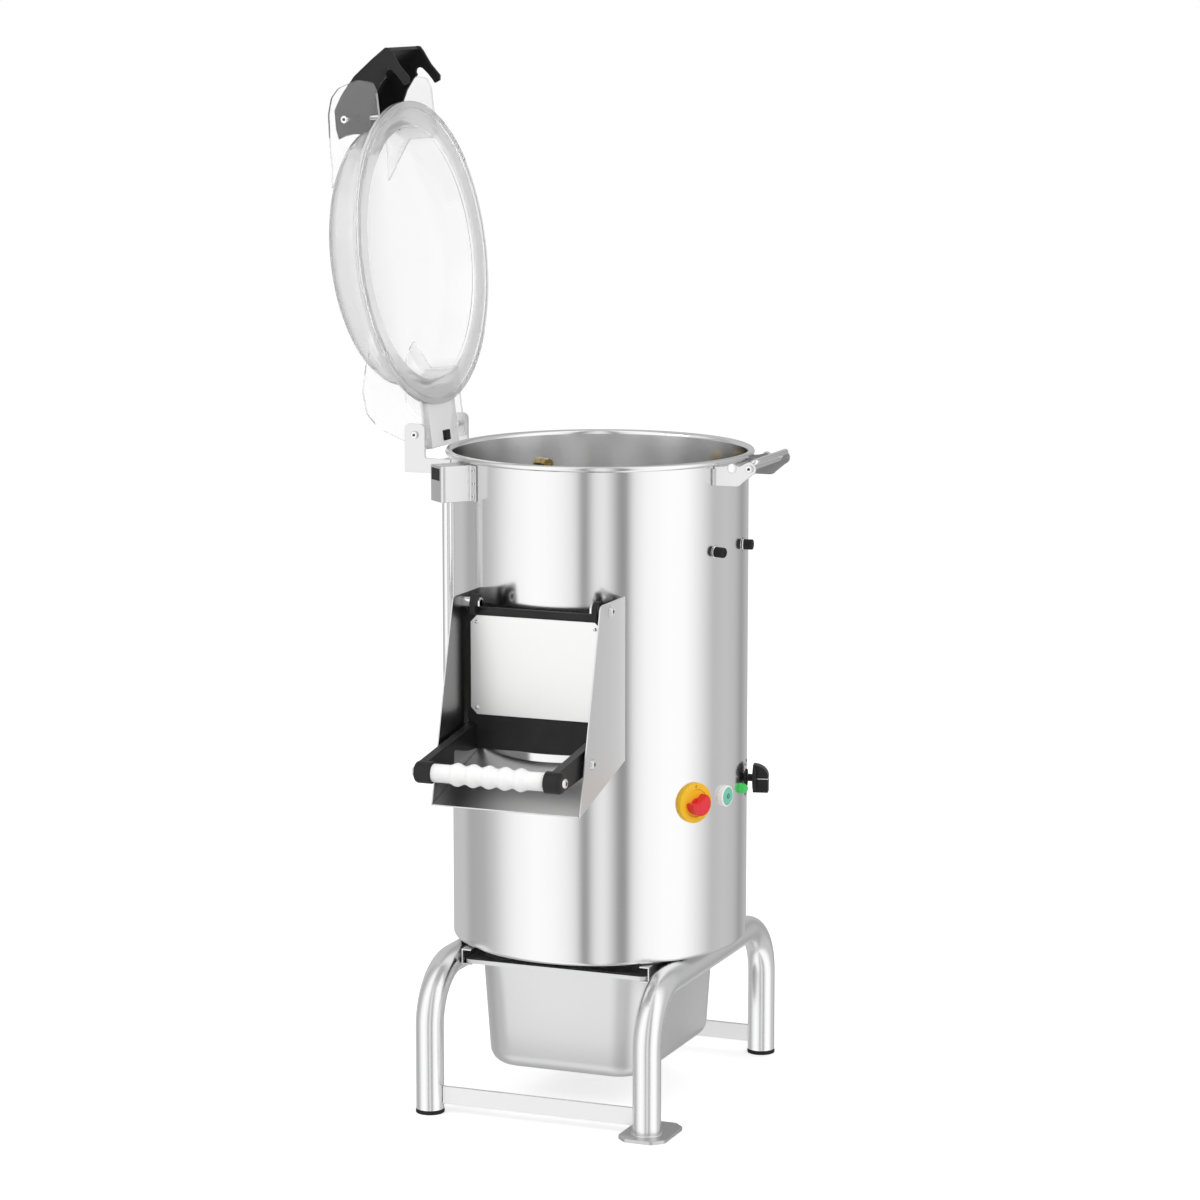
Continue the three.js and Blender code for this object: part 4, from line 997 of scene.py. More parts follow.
@dataclass
class Drum:
    """Rolled drum with its beaded rim, turned-in foot and discharge mouth."""

    radius: float = 200
    wall: float = 2
    bottom: float = 213
    rim: float = 880
    bead: float = 4
    fillet: float = 6
    flange: float = 30
    mouth_half: float = 97
    mouth_low: float = 497
    mouth_high: float = 690
    bright_rim: float = 6

    def build(self) -> None:
        """Makes the shell with its mouth."""
        work = Workpiece()
        work.turned(self.profile(), steps=180)
        self.cut_mouth(work.mesh)
        skin, top = self.radius - self.wall / 2, self.rim - self.bright_rim
        work.paint(INNER_STEEL, lambda spot, _: spot.xy.length < skin and spot.z < top)
        work.become("drum", DRUM_STEEL, Body.BASE, ["drum_shell"], edge=0, crease=40)

    def profile(self) -> list[Point2]:
        """Draws the outside and inside of the wall as one closed line.

        Returns:
            Points of (radius, height).
        """
        outer, wall, bead, fillet = self.radius, self.wall, self.bead, self.fillet
        inner, foot = outer - wall, (outer - fillet, self.bottom + fillet)
        top = self.rim - bead
        return [
            (outer - fillet - self.flange, self.bottom),
            *arc(foot, fillet, -90, 0, 8),
            (outer, self.rim - 2 * bead),
            *arc((outer + bead, top), bead, -90, 90, 12),
            *arc((outer + bead, top - wall), bead + wall, 90, 180, 8)[1:],
            *arc(foot, fillet - wall, 0, -90, 6),
            (inner - fillet + wall - self.flange, self.bottom + wall),
        ]

    def cut_mouth(self, mesh: bmesh.types.BMesh) -> None:
        """Cuts the discharge mouth through both skins and closes its edge.

        Args:
            mesh: The turned shell.
        """
        planes = [((side * self.mouth_half, 0, 0), (1, 0, 0)) for side in (-1, 1)]
        planes += [((0, 0, z), (0, 0, 1)) for z in (self.mouth_low, self.mouth_high)]
        for spot, normal in planes:
            near = [f for f in mesh.faces if f.calc_center_median().y < 0 and self.spans_mouth(f)]
            parts = {v for f in near for v in f.verts} | {e for f in near for e in f.edges} | set(near)
            bmesh.ops.bisect_plane(mesh, geom=list(parts), dist=0.001, plane_co=spot, plane_no=normal)
        gone = [f for f in mesh.faces if self.in_mouth(f.calc_center_median())]
        bmesh.ops.delete(mesh, geom=gone, context="FACES")
        rims = [edge for edge in mesh.edges if edge.is_boundary]
        bmesh.ops.bridge_loops(mesh, edges=rims)
        bmesh.ops.recalc_face_normals(mesh, faces=mesh.faces[:])

    def spans_mouth(self, face: bmesh.types.BMFace) -> bool:
        """Whether a face is on the wall at the height of the mouth."""
        heights = [v.co.z for v in face.verts]
        return min(heights) < self.mouth_high + 1 and max(heights) > self.mouth_low - 1

    def in_mouth(self, spot: Vector) -> bool:
        """Whether a point of the wall lies inside the mouth."""
        return spot.y < 0 and abs(spot.x) < self.mouth_half and self.mouth_low < spot.z < self.mouth_high


@dataclass
class Turntable:
    """Abrasive disc with three waves, its nut, and the drive that shows only from below."""

    radius: float = 190
    low: float = 468
    top: float = 477
    hub: float = 26
    bore: float = 12.8
    wave: float = 14
    waves: int = 3
    rings: int = 26
    nut: tuple[float, float, float] = (19.5, 477.3, 484.3)
    nut_dome: float = 12.5

    def build(self) -> None:
        """Makes the disc and nut and dresses the drive."""
        self.disc()
        nut = Workpiece()
        corner, low, top = self.nut
        nut.turned([(0, low), (corner, low), (corner, top), (0, top)], 6)
        nut.turned([(0, top), *arc((0, top), self.nut_dome, 0, 90, 8)], 32)
        nut.become("disc_dome_nut", TUBE_STEEL, Body.TURNTABLE, ["disc_nut"], edge=0.8)
        for node, finish in {
            "base_plate": PAN_STEEL, "chamber_floor": PAN_STEEL, "waste_spout": PAN_STEEL,
            "bearing_housing": IRON, "shaft_seal": RUBBER, "drive_shaft": TUBE_STEEL,
            "driven_pulley": IRON, "motor": IRON, "motor_shaft": TUBE_STEEL, "motor_pulley": IRON,
            "motor_bracket": PAN_STEEL, "drive_belt": RUBBER,
        }.items():
            dress(node, finish)

    def disc(self) -> None:
        """Turns the disc and lifts its waves."""
        run = self.radius - self.hub
        slope = [(self.hub + run * (1 - i / self.rings), self.top) for i in range(self.rings + 1)]
        work = Workpiece()
        work.turned([(self.bore, self.low), (self.radius, self.low), *slope, (self.bore, self.top)], 144)
        for vert in work.mesh.verts:
            reach = (math.hypot(vert.co.x, vert.co.y) - self.hub) / run
            crest = (1 + math.cos(self.waves * math.atan2(vert.co.y, vert.co.x))) / 2
            if vert.co.z > self.top - 0.1 and 0 < reach < 1:
                vert.co.z += self.wave * crest ** 2 * math.sin(math.pi * reach)
        work.become("peeling_disc", GRIT, Body.TURNTABLE, ["abrasive_disc"], edge=0, crease=50)


# Trestle and pan


@dataclass
class Trestle:
    """Two bent tubes with feet, floor rails and the anchor plate."""

    tube: float = 18.8
    leg_x: float = 156
    leg_y: float = 222
    top: float = 193.9
    bend: float = 76
    foot: float = 5.3
    rail: tuple[float, float, float] = (136.9, 14, 38)
    rail_half: float = 2.5
    cap: float = 19.4
    plate: float = 5

    def build(self) -> None:
        """Makes the arches, caps, plate and rails."""
        for side, sign in (("left", -1), ("right", 1)):
            x, y = sign * self.leg_x, self.leg_y
            path = [(x, -y, self.foot), (x, -y, self.top), (x, y, self.top), (x, y, self.foot)]
            work = Workpiece().tube(path, self.bend, self.tube, sides=48)
            work.become(f"trestle_tube_{side}", LEG_STEEL, Body.BASE, [f"frame_arch_{side}"], edge=0.8)
        for name, sx, sy in (("front_left", -1, -1), ("back_left", -1, 1), ("back_right", 1, 1)):
            spot = Matrix.Translation((sx * self.leg_x, sy * self.leg_y, 0))
            cap = Workpiece().rod(self.cap, 0, self.plate, spot, 48)
            cap.become(f"trestle_cap_{name}", RUBBER, Body.BASE, [f"foot_cap_{name}"], edge=1.2)
        self.anchor()
        reach, low, high = self.rail
        for name, sign in (("front", -1), ("back", 1)):
            y = sign * self.leg_y
            bar = Workpiece().block((-reach, y - self.rail_half, low), (reach, y + self.rail_half, high))
            # Painted shade: the back rail takes the slightly darker plate steel, as it stands in shade behind
            # the machine.
            finish = RAIL_STEEL if name == "front" else PLATE_STEEL
            bar.become(f"trestle_rail_{name}", finish, Body.BASE, [f"floor_rail_{name}"], edge=0.5)

    def anchor(self) -> None:
        """The plate under the front right leg, with a weld bead round the tube."""
        outline = cut_corners(half=33, low=-34, high=60, trim=14)
        spot = Matrix.Translation((self.leg_x, -self.leg_y, 0))
        plate = Workpiece().slab(outline, 0, self.plate, turn=spot, soften=3)
        plate.become("trestle_anchor", FOOT_STEEL, Body.BASE, ["anchor_plate"], edge=0.6)
        weld = Workpiece().turned([(18.6, 4.9), *arc((18.8, 5.0), 2.0, 0, 90, 5)], 40, spot)
        weld.become("trestle_weld", SHEET_STEEL, Body.BASE, edge=0)


@dataclass
class WastePan:
    """Deep-drawn catering pan on two angle runners."""

    half_width: float = 132.5
    half_length: float = 162.5
    rim: float = 199
    depth: float = 150
    lip: float = 11
    taper: float = 8
    corner: float = 45
    heel: float = 20
    sheet: float = 1.6
    turned_edge: float = 5.5
    runner: tuple[float, float] = (193.2, 212.7)
    runner_flange: float = 12
    runner_sheet: float = 2

    def build(self) -> None:
        """Makes the pan and its runners."""
        mesh = bmesh.new()
        top = Vector((self.half_width - self.lip, self.half_length - self.lip, 0))
        bottom = top - Vector((self.taper, self.taper, 0))
        low = self.rim - self.depth
        bmesh.ops.create_cube(mesh, size=2)
        for vert in mesh.verts:
            size = top if vert.co.z > 0 else bottom
            vert.co = Vector((vert.co.x * size.x, vert.co.y * size.y, self.rim if vert.co.z > 0 else low))
        upright = [e for e in mesh.edges if abs(e.verts[0].co.z - e.verts[1].co.z) > 1]
        round_off(mesh, upright, self.corner, 10, "EDGES")
        foot = [e for e in mesh.edges if all(v.co.z < low + 0.01 for v in e.verts) and len(e.link_faces) == 2
                and any(f.normal.z > -0.5 for f in e.link_faces)]
        round_off(mesh, foot, self.heel, 7, "EDGES")
        mesh.normal_update()
        lid = [f for f in mesh.faces if f.normal.z > 0.9]
        bmesh.ops.delete(mesh, geom=lid, context="FACES")
        self.brim(mesh)
        bmesh.ops.remove_doubles(mesh, verts=mesh.verts[:], dist=0.001)
        bmesh.ops.recalc_face_normals(mesh, faces=mesh.faces[:])
        bmesh.ops.solidify(mesh, geom=mesh.faces[:], thickness=self.sheet)
        work = Workpiece(mesh)
        work.become("catering_pan", PAN_STEEL, Body.PAN, ["waste_pan"], edge=0, crease=35)
        self.runners()

    def brim(self, mesh: bmesh.types.BMesh) -> None:
        """Adds the flat brim and its turned-down edge.

        Args:
            mesh: The open pan.
        """
        mouth = [e for e in mesh.edges if e.is_boundary]
        sheet = bmesh.new()
        w, l = self.half_width, self.half_length
        sheet.faces.new([sheet.verts.new((x, y, self.rim)) for x, y in ((-w, -l), (w, -l), (w, l), (-w, l))])
        round_off(sheet, sheet.verts[:], self.lip, 5, "VERTICES")
        corners = [v.co.copy() for v in sheet.faces[:][0].verts]
        sheet.free()
        verts = [mesh.verts.new(co) for co in corners]
        outer = [mesh.edges.new(pair) for pair in zip(verts, verts[1:] + verts[:1])]
        bmesh.ops.bridge_loops(mesh, edges=mouth + outer)
        draw_edges(mesh, outer, (0, 0, -self.turned_edge))

    def runners(self) -> None:
        """The two folded runners that carry the brim."""
        low, top = self.runner
        inner, sheet = self.half_width + 1, self.runner_sheet
        edge, outer = inner - self.runner_flange, inner + sheet
        outline = [(edge, low - sheet), (outer, low - sheet), (outer, top), (edge, top),
                   (edge, top - sheet), (inner, top - sheet), (inner, low), (edge, low)]
        for side, sign in (("left", -1), ("right", 1)):
            flipped = [(sign * x, z) for x, z in outline]
            work = Workpiece().slab(flipped, -self.half_length, self.half_length, Plane.XZ)
            work.become(f"runner_{side}", SHEET_STEEL, Body.BASE, [f"pan_runner_{side}"], edge=0.5)


# Chute and door


@dataclass
class Chute:
    """Two side plates and the sloping floor of the discharge chute."""

    half: float = 104.6
    sheet: float = 2
    top: float = 709
    reach: float = 258
    lip: tuple[float, float] = (327, 445)
    wall_height: float = 491
    corner: float = 10
    drum: float = 200.3

    def build(self) -> None:
        """Makes the plates and floor."""
        for side, sign in (("left", -1), ("right", 1)):
            low, high = side_span(sign, self.half, self.half - self.sheet)
            back = -math.sqrt(self.drum ** 2 - self.half ** 2)
            outline = [(-self.lip[0], self.lip[1]), (back, self.wall_height), (back, self.top),
                       *arc((-self.reach + self.corner, self.top - self.corner), self.corner, 90, 180, 6)]
            work = Workpiece().slab(outline, low, high, Plane.YZ)
            # Painted shade: the inner faces take the dark steel, standing in for the shade and dark reflections
            # inside the chute.
            work.paint(SHADED_STEEL, lambda _, normal: normal.x * sign < -0.9)
            work.become(f"chute_plate_{side}", PLATE_STEEL, Body.BASE, [f"chute_side_{side}"], edge=0.35)
        self.floor()

    def floor(self) -> None:
        """The sloping floor, cut to the drum's curve."""
        inside = self.half - self.sheet - 0.3
        rise = (self.wall_height - self.lip[1]) / (self.lip[0] - 180)
        steps = 24
        mesh = bmesh.new()
        back = [(-inside + 2 * inside * i / steps) for i in range(steps + 1)]
        line = [(x, -math.sqrt(self.drum ** 2 - x * x)) for x in back]
        outline = [*line, (inside, -self.lip[0]), (-inside, -self.lip[0])]
        verts = [mesh.verts.new((x, y, self.lip[1] + (y + self.lip[0]) * rise)) for x, y in outline]
        mesh.faces.new(verts)
        push_faces(mesh, (0, 0, self.sheet))
        work = Workpiece().absorb(mesh)
        work.become("chute_bed", BED_STEEL, Body.BASE, ["chute_floor"], edge=0.35)


@dataclass
class Door:
    """Black door with its steel face, arms, ridged grip and bolts."""

    pivot: tuple[float, float] = (-222, 697)
    half: float = 98
    panel: float = 10
    bottom: float = 503
    grip: tuple[float, float] = (-376, 500)
    grip_half: float = 78.5
    cap: float = 14.5
    stop: tuple[float, float] = (-287, 508)
    plate_out: float = 105.4
    washer_in: float = 104.7
    leaf_top: float = 684
    arm_sheet: float = 12
    ear_span: tuple[float, float] = (16, 8)
    ridges: int = 5
    ridge_pitch: float = 22

    def build(self) -> None:
        """Makes every piece of the door."""
        self.frame()
        self.face()
        self.handle()
        self.bolts()

    def frame(self) -> None:
        """The moulded panel, its top bar, arms, ears and end caps."""
        front, back = self.pivot[0], self.pivot[0] + self.panel
        work = Workpiece()
        work.block((-self.half, front, self.bottom), (self.half, back, self.leaf_top))
        work.rod(7, -self.half, self.half, along_x(0, front + 7, self.leaf_top), 32)
        far, near = self.ear_span
        ear = [(front - 12, 683), (front + 12, 683), *arc(self.pivot, 12, 0, 180, 16)]
        inner, outer = self.grip_half + 0.3, self.half + 4
        cap = [(0, inner), (self.cap, inner), *arc((self.cap - 5, outer - 5), 5, 0, 90, 6), (0, outer)]
        for sign in (-1, 1):
            work.slab(self.arm(), *side_span(sign, self.half, self.half - self.arm_sheet), Plane.YZ)
            work.slab(ear, *side_span(sign, self.half - far, self.half - near), Plane.YZ)
            work.turned(cap, 40, Matrix.Scale(sign, 4, ACROSS_X) @ along_x(0, *self.grip))
        bmesh.ops.recalc_face_normals(work.mesh, faces=work.mesh.faces[:])
        work.become("door_moulding", BLACK, Body.DOOR, ["door_panel"], edge=0.8)

    def arm(self) -> list[Point2]:
        """Draws an arm, with the step that takes the stop pin and the arc that swings off it.

        Returns:
            Points of the outline, seen from the side.
        """
        seat = 5.3
        run, drop = self.pivot[0] - self.stop[0], self.stop[1] - self.pivot[1]
        lean = math.degrees(math.atan2(drop, run))
        swing = math.hypot(run, drop) - seat
        heel = math.degrees(math.asin(self.panel / swing))
        return [
            (self.pivot[0] + self.panel, 537), (self.pivot[0], 537),
            (self.grip[0], self.grip[1] + self.cap), (self.grip[0], self.grip[1] - self.cap),
            (self.stop[0] - seat, self.stop[1] - self.cap),
            *arc(self.stop, seat, 180, 180 + lean, 6),
            *arc(self.pivot, swing, lean - 180 if lean > 0 else -180 - lean, heel - 90, 8),
        ]

    def face(self) -> None:
        """The pale steel plate with cut corners and four rivets."""
        half, low, high, trim, sheet = 92.5, 549, 681, 9, 1.5
        front = self.pivot[0] - 0.3
        plate = Workpiece().slab(cut_corners(half, low, high, trim), front - sheet, front, Plane.XZ)
        plate.become("door_steel_face", FACE_STEEL, Body.DOOR, ["door_face_plate"], edge=0.3)
        rivets = Workpiece()
        upright = Matrix.Rotation(math.pi / 2, 4, "X")
        for x in (-half + trim, half - trim):
            for z in (low + trim, high - trim):
                spot = Matrix.Translation((x, front - sheet, z)) @ upright
                rivets.turned([(0, 0), *arc((0, 0), 2.6, 0, 90, 5)], 20, spot)
        rivets.become("door_rivets", TUBE_STEEL, Body.DOOR, edge=0)

    def handle(self) -> None:
        """The white grip with five finger ridges, on its through rod."""
        half, pitch, steps = self.grip_half, self.ridge_pitch, 60
        span = pitch * self.ridges / 2
        wave = []
        for i in range(steps + 1):
            along = -span + 2 * span * i / steps
            wave.append((12 + 3.4 * (1 - math.cos(math.tau * (along + span) / pitch)) / 2, along))
        line = [(5.3, -half), (11, -half), (12, -half + 1), *wave, (12, half - 1), (11, half), (5.3, half)]
        grip = Workpiece().turned(line, 40, along_x(0, *self.grip))
        grip.become("door_ridged_grip", WHITE, Body.DOOR, ["door_grip"], edge=0, crease=50)
        bolts = Screws()
        for sign in (-1, 1):
            turn = Matrix.Scale(sign, 4, ACROSS_X) @ along_x(0, *self.grip)
            bolts.heads.rod(4.7, 0, self.half + 4.3, turn, 24)
            bolts.add(turn, low=self.half + 4.3, radius=6.2, height=4.2)
        bolts.become("door_grip_bolts", Body.DOOR, ["grip_rod"])

    def bolts(self) -> None:
        """Pivot bolts through the side plates, and the stop pins."""
        for side, sign in (("left", -1), ("right", 1)):
            mirror, seat = Matrix.Scale(sign, 4, ACROSS_X), self.plate_out
            pivot, stop = mirror @ along_x(0, *self.pivot), mirror @ along_x(0, *self.stop)
            bolt = Screws().add(pivot, seat, 6, 3.6)
            bolt.heads.rod(5, 77.7, seat, pivot, 24).rod(7, 77.7, 81.7, pivot, 6)
            bolt.heads.rod(7, 90.3, 102.3, pivot, 32).rod(8, self.washer_in, seat, pivot, 32)
            bolt.become(f"door_hinge_bolt_{side}", Body.BASE, [f"door_pivot_bolt_{side}"])
            pin = Screws().add(stop, seat, 6, 3.6)
            pin.heads.rod(5, 92.3, seat, stop, 24).rod(8, self.washer_in, seat, stop, 32)
            pin.become(f"door_stop_bolt_{side}", Body.BASE, [f"door_stop_pin_{side}"])


# Lid, lever and catch


@dataclass
class Lid:
    """Clear lid, drawn closed and then turned open about its hinge."""

    hinge: tuple[float, float] = (-240, 894)
    low: float = 883
    open_angle: float = 97
    outer: float = 206
    inner: float = 178
    wall: float = 4
    collar: float = 44
    dome: float = 90
    seal: tuple[float, float, float] = (197, 880.3, 882.7)
    dome_steps: int = 28

    def opened(self) -> Matrix:
        """The move from the closed place to the open one."""
        there = Matrix.Translation((self.hinge[0], 0, self.hinge[1]))
        return there @ Matrix.Rotation(-math.radians(self.open_angle), 4, "Y") @ there.inverted()

    def build(self) -> None:
        """Makes the moulding, seal and rest pad."""
        work = Workpiece()
        work.turned(self.profile(), 240)
        for sign in (-1, 1):
            work.slab(self.fin(), *side_span(sign, 62, 68), Plane.XZ, soften=3)
            work.slab(self.ear(), *side_span(sign, 85, 91), Plane.XZ, soften=3)
        work.block((-263, -45, self.low + 0.2), (-self.inner - 2, 45, self.low + 10))
        work.paint(SATIN, lambda spot, _: spot.xy.length > self.inner + 4 and spot.z < self.low + 8
                   and abs(spot.xy.length - self.outer) < 30)
        work.become("lid_moulding", CLEAR, Body.LID, ["lid_dome"], edge=0.6, crease=40, place=self.opened())
        seal = Workpiece()
        edge, low, high = self.seal
        seal.ring(edge, self.outer, low, high, steps=144)
        seal.become("lid_gasket", CLEAR, Body.LID, ["lid_seal"], edge=0, place=self.opened())
        pad = Workpiece().block((-256, -8, 878), (-242, 8, self.low - 0.2))
        pad.become("lid_rest_pad", RUBBER, Body.LID, edge=1, place=self.opened())

    def profile(self) -> list[Point2]:
        """Draws the moulding's section: flange, stepped collar, dome, and the same inside.

        Returns:
            Points of (radius, height).
        """
        low, rise = self.low, self.dome - self.collar
        skin, hollow = self.inner, self.inner - self.wall
        outside = self.quarter(skin - 1.7, rise - 2)
        inside = self.quarter(hollow, rise - self.wall)
        return [*inside[::-1], (hollow, low + 8), (hollow - 2, low + 6), (hollow - 2, low), (self.outer, low),
                (self.outer, low + 4), (skin + 8, low + 5), (skin + 5, low + 7), (skin + 1.5, low + 12),
                (skin + 1.5, low + 26), (skin, low + 28), *outside]

    def quarter(self, reach: float, rise: float) -> list[Point2]:
        """A quarter of the dome's section, from the collar to the middle.

        Args:
            reach: Its radius at the collar.
            rise: Its height over the collar.

        Returns:
            The points in order, the last of them on the axis.
        """
        base, steps = self.low + self.collar, self.dome_steps
        turns = [math.pi / 2 * i / steps for i in range(steps + 1)]
        line = [(reach * math.cos(t), base + rise * math.sin(t)) for t in turns]
        return [*line[:-1], (0, line[-1][1])]

    def fin(self) -> list[Point2]:
        """Outline of a hinge fin."""
        rises = [(-120, 60), (-139, 74), (-175, 84), (-207, 82), (-228, 66), (-245, 36), (-257, 12),
                 (-257, 0)]
        return [(-160, self.low + 0.2), (-160, self.low + 40), *[(x, self.low + z) for x, z in rises]]

    def ear(self) -> list[Point2]:
        """Outline of a latch ear."""
        rises = [(100, 82), (127, 78), (150, 78), (199, 74), (220, 67), (232, 55), (240, 25), (235, 5),
                 (222, 0)]
        return [(157, self.low + 0.2), (157, self.low + 40), *[(x, self.low + z) for x, z in rises]]


@dataclass
class LatchLever:
    """Black channel lever with two hooks, and its pivot pin."""

    pivot: tuple[float, float] = (190, 933)
    ear_out: float = 91.3

    def build(self, lid: Lid) -> None:
        """Makes the lever and pin in the lid's open place.

        Args:
            lid: Gives the move from closed to open.
        """
        lever = Workpiece().copied("latch_lever")
        lever.become("lever_channel", BLACK, Body.LEVER, ["latch_lever"], edge=0.9, crease=35)
        pin = Screws()
        for sign in (-1, 1):
            turn = lid.opened() @ Matrix.Scale(sign, 4, ACROSS_Y) @ along_y(self.pivot[0], 0, self.pivot[1])
            pin.heads.rod(4, 0, self.ear_out, turn, 32)
            pin.add(turn, low=self.ear_out, radius=5.2, height=3)
        pin.become("lever_pin", Body.LID, ["latch_pivot_pin"])


@dataclass
class Ironwork:
    """Sheet fittings on the rim: catch, hinge and safety switch."""

    wall: float = 200.3
    ear: float = 66.5
    bolt: tuple[float, float] = (238, 870)
    pivot: tuple[float, float] = (214, 862)
    bar: tuple[float, float] = (244, 879)
    hinge: tuple[float, float] = (-240, 894)
    rivet: tuple[float, float] = (214, 870)
    bail_half: float = 60
    leaf_half: float = 70.4
    leaf_steps: int = 20
    box_angle: float = -40

    def build(self) -> None:
        """Makes the fittings with their screws."""
        self.catch()
        self.bail()
        self.hinge_bracket()
        self.switch_box()
        self.water()

    def catch(self) -> None:
        """The band on the wall and its two ears, which reach out to the cross bolt."""
        work = Workpiece()
        work.slab([*arc((0, 0), self.wall, -21, 21, 24), *arc((0, 0), self.wall + 3, 21, -21, 24)], 846, 869)
        outline = [(189, 846), (219, 846), *arc((219, 856), 10, -70, -35, 4), (241, 861.5),
                   *arc(self.bolt, 9, -60, 105, 12), (224, 872.5), (219, 873.5),
                   *arc((214, 868), 7, 60, 120, 5), (203, 872), (189, 871)]
        for sign in (-1, 1):
            work.slab(outline, *side_span(sign, self.ear - 1.5, self.ear + 1.5), Plane.XZ)
        # Painted shade: the ears' inner faces, turned towards each other, take the dark steel.
        work.paint(SHADED_STEEL, lambda spot, normal: normal.y * spot.y < -40)
        work.become("catch_bracket", SHEET_STEEL, Body.BASE, ["latch_bracket"], edge=0.5)

    def bail(self) -> None:
        """The bail that the lever hooks, and the cross bolt below it."""
        screws, end, half = Screws(), self.ear - 1.6, self.bail_half
        run = ((self.pivot, -end), (self.pivot, -half), (self.bar, -half),
               (self.bar, half), (self.pivot, half), (self.pivot, end))
        screws.heads.tube([(x, y, z) for (x, z), y in run], bend=4.5, radius=4, sides=24)
        for sign in (-1, 1):
            mirror = Matrix.Scale(sign, 4, ACROSS_Y)
            cross, swivel = (mirror @ along_y(spot[0], 0, spot[1]) for spot in (self.bolt, self.rivet))
            screws.heads.rod(3, 0, self.ear + 1.7, cross, 24)
            screws.add(cross, self.ear + 1.7, 5.2, 3.2)
            screws.heads.turned([(0, self.ear), (6.5, self.ear), *arc((5, self.ear + 1.6), 1.5, 0, 90, 4),
                                 (0, self.ear + 3.6)], 32, swivel)
        screws.become("catch_loop", Body.BASE, ["catch_bail"])

    def hinge_bracket(self) -> None:
        """The folded bracket that carries the lid's pins."""
        outline = [(-255, 843), (-187.4, 843), (-187.4, 863), (-222, 863), *arc((-222, 866), 3, -90, -180, 4),
                   *arc((-232.5, 901.5), 7.5, 0, 90, 8), *arc((-247.5, 901.5), 7.5, 90, 180, 8)]
        work = Workpiece()
        for sign in (-1, 1):
            work.slab(outline, *side_span(sign, 70.5, 73.5), Plane.XZ)
        half, steps = self.leaf_half, self.leaf_steps
        across = [half - 2 * half * i / steps for i in range(steps + 1)]
        line = [(-math.sqrt(self.wall ** 2 - y * y), y) for y in across]
        work.slab([(-255, -half), (-255, half), *line], 843, 846)
        work.become("lid_hinge_bracket", SHEET_STEEL, Body.BASE, ["hinge_bracket"], edge=0.5)
        for name, sign in (("front", -1), ("back", 1)):
            turn = Matrix.Scale(sign, 4, ACROSS_Y) @ along_y(self.hinge[0], 0, self.hinge[1])
            pin = Screws().add(turn, 73.8, 5.2, 2.8)
            pin.heads.rod(4.5, 62.2, 73.8, turn, 32)
            pin.become(f"lid_hinge_pin_{name}", Body.BASE, [f"hinge_pin_{name}"])

    def switch_box(self) -> None:
        """The safety switch in its folded cover, with screws down its flanges, and the conduit."""
        place = on_wall(self.box_angle)
        cover = [(200.7, 28), (198.6, 28), (200.4, 14), (200.4, -14), (198.6, -28), (200.7, -28),
                 (202.5, -20), *arc((205.5, -20), 3, 180, 90, 4), (244, -17), *arc((238, 11), 6, 0, 90, 6),
                 *arc((205.5, 20), 3, 270, 180, 4)]
        box = Workpiece().slab(cover, 822, 870, turn=place)
        box.become("switch_cover", SHEET_STEEL, Body.BASE, ["switch_housing"], edge=0.6)
        screws = Screws()
        for y, z in ((y, z) for y in (-24, 24) for z in (829, 846, 863)):
            screws.add(place @ along_x(0, y, z), low=201.4, radius=2.8, height=1.9)
        screws.become("switch_screws", Body.BASE)
        # Painted shade: a thin black plate on the cover's outer face stands in for the dark inside its
        # rectangular opening.
        eye = Workpiece().block((243.9, -14, 850.5), (244.6, 9, 866.5), place)
        eye.become("switch_eye", BLACK, Body.BASE, edge=0.2)
        path = [(227, 0, 821.7), (227, 0, 436), (200.4, 0, 436)]
        pipe = Workpiece().tube(path, bend=16, radius=8, sides=32, turn=place)
        pipe.become("switch_pipe", TUBE_STEEL, Body.BASE, ["switch_conduit"], edge=0)

    def water(self) -> None:
        """The brass spray nozzle and the inlet elbow."""
        dress("spray_nozzle", BRASS)
        dress("water_inlet", BRASS)


# Controls


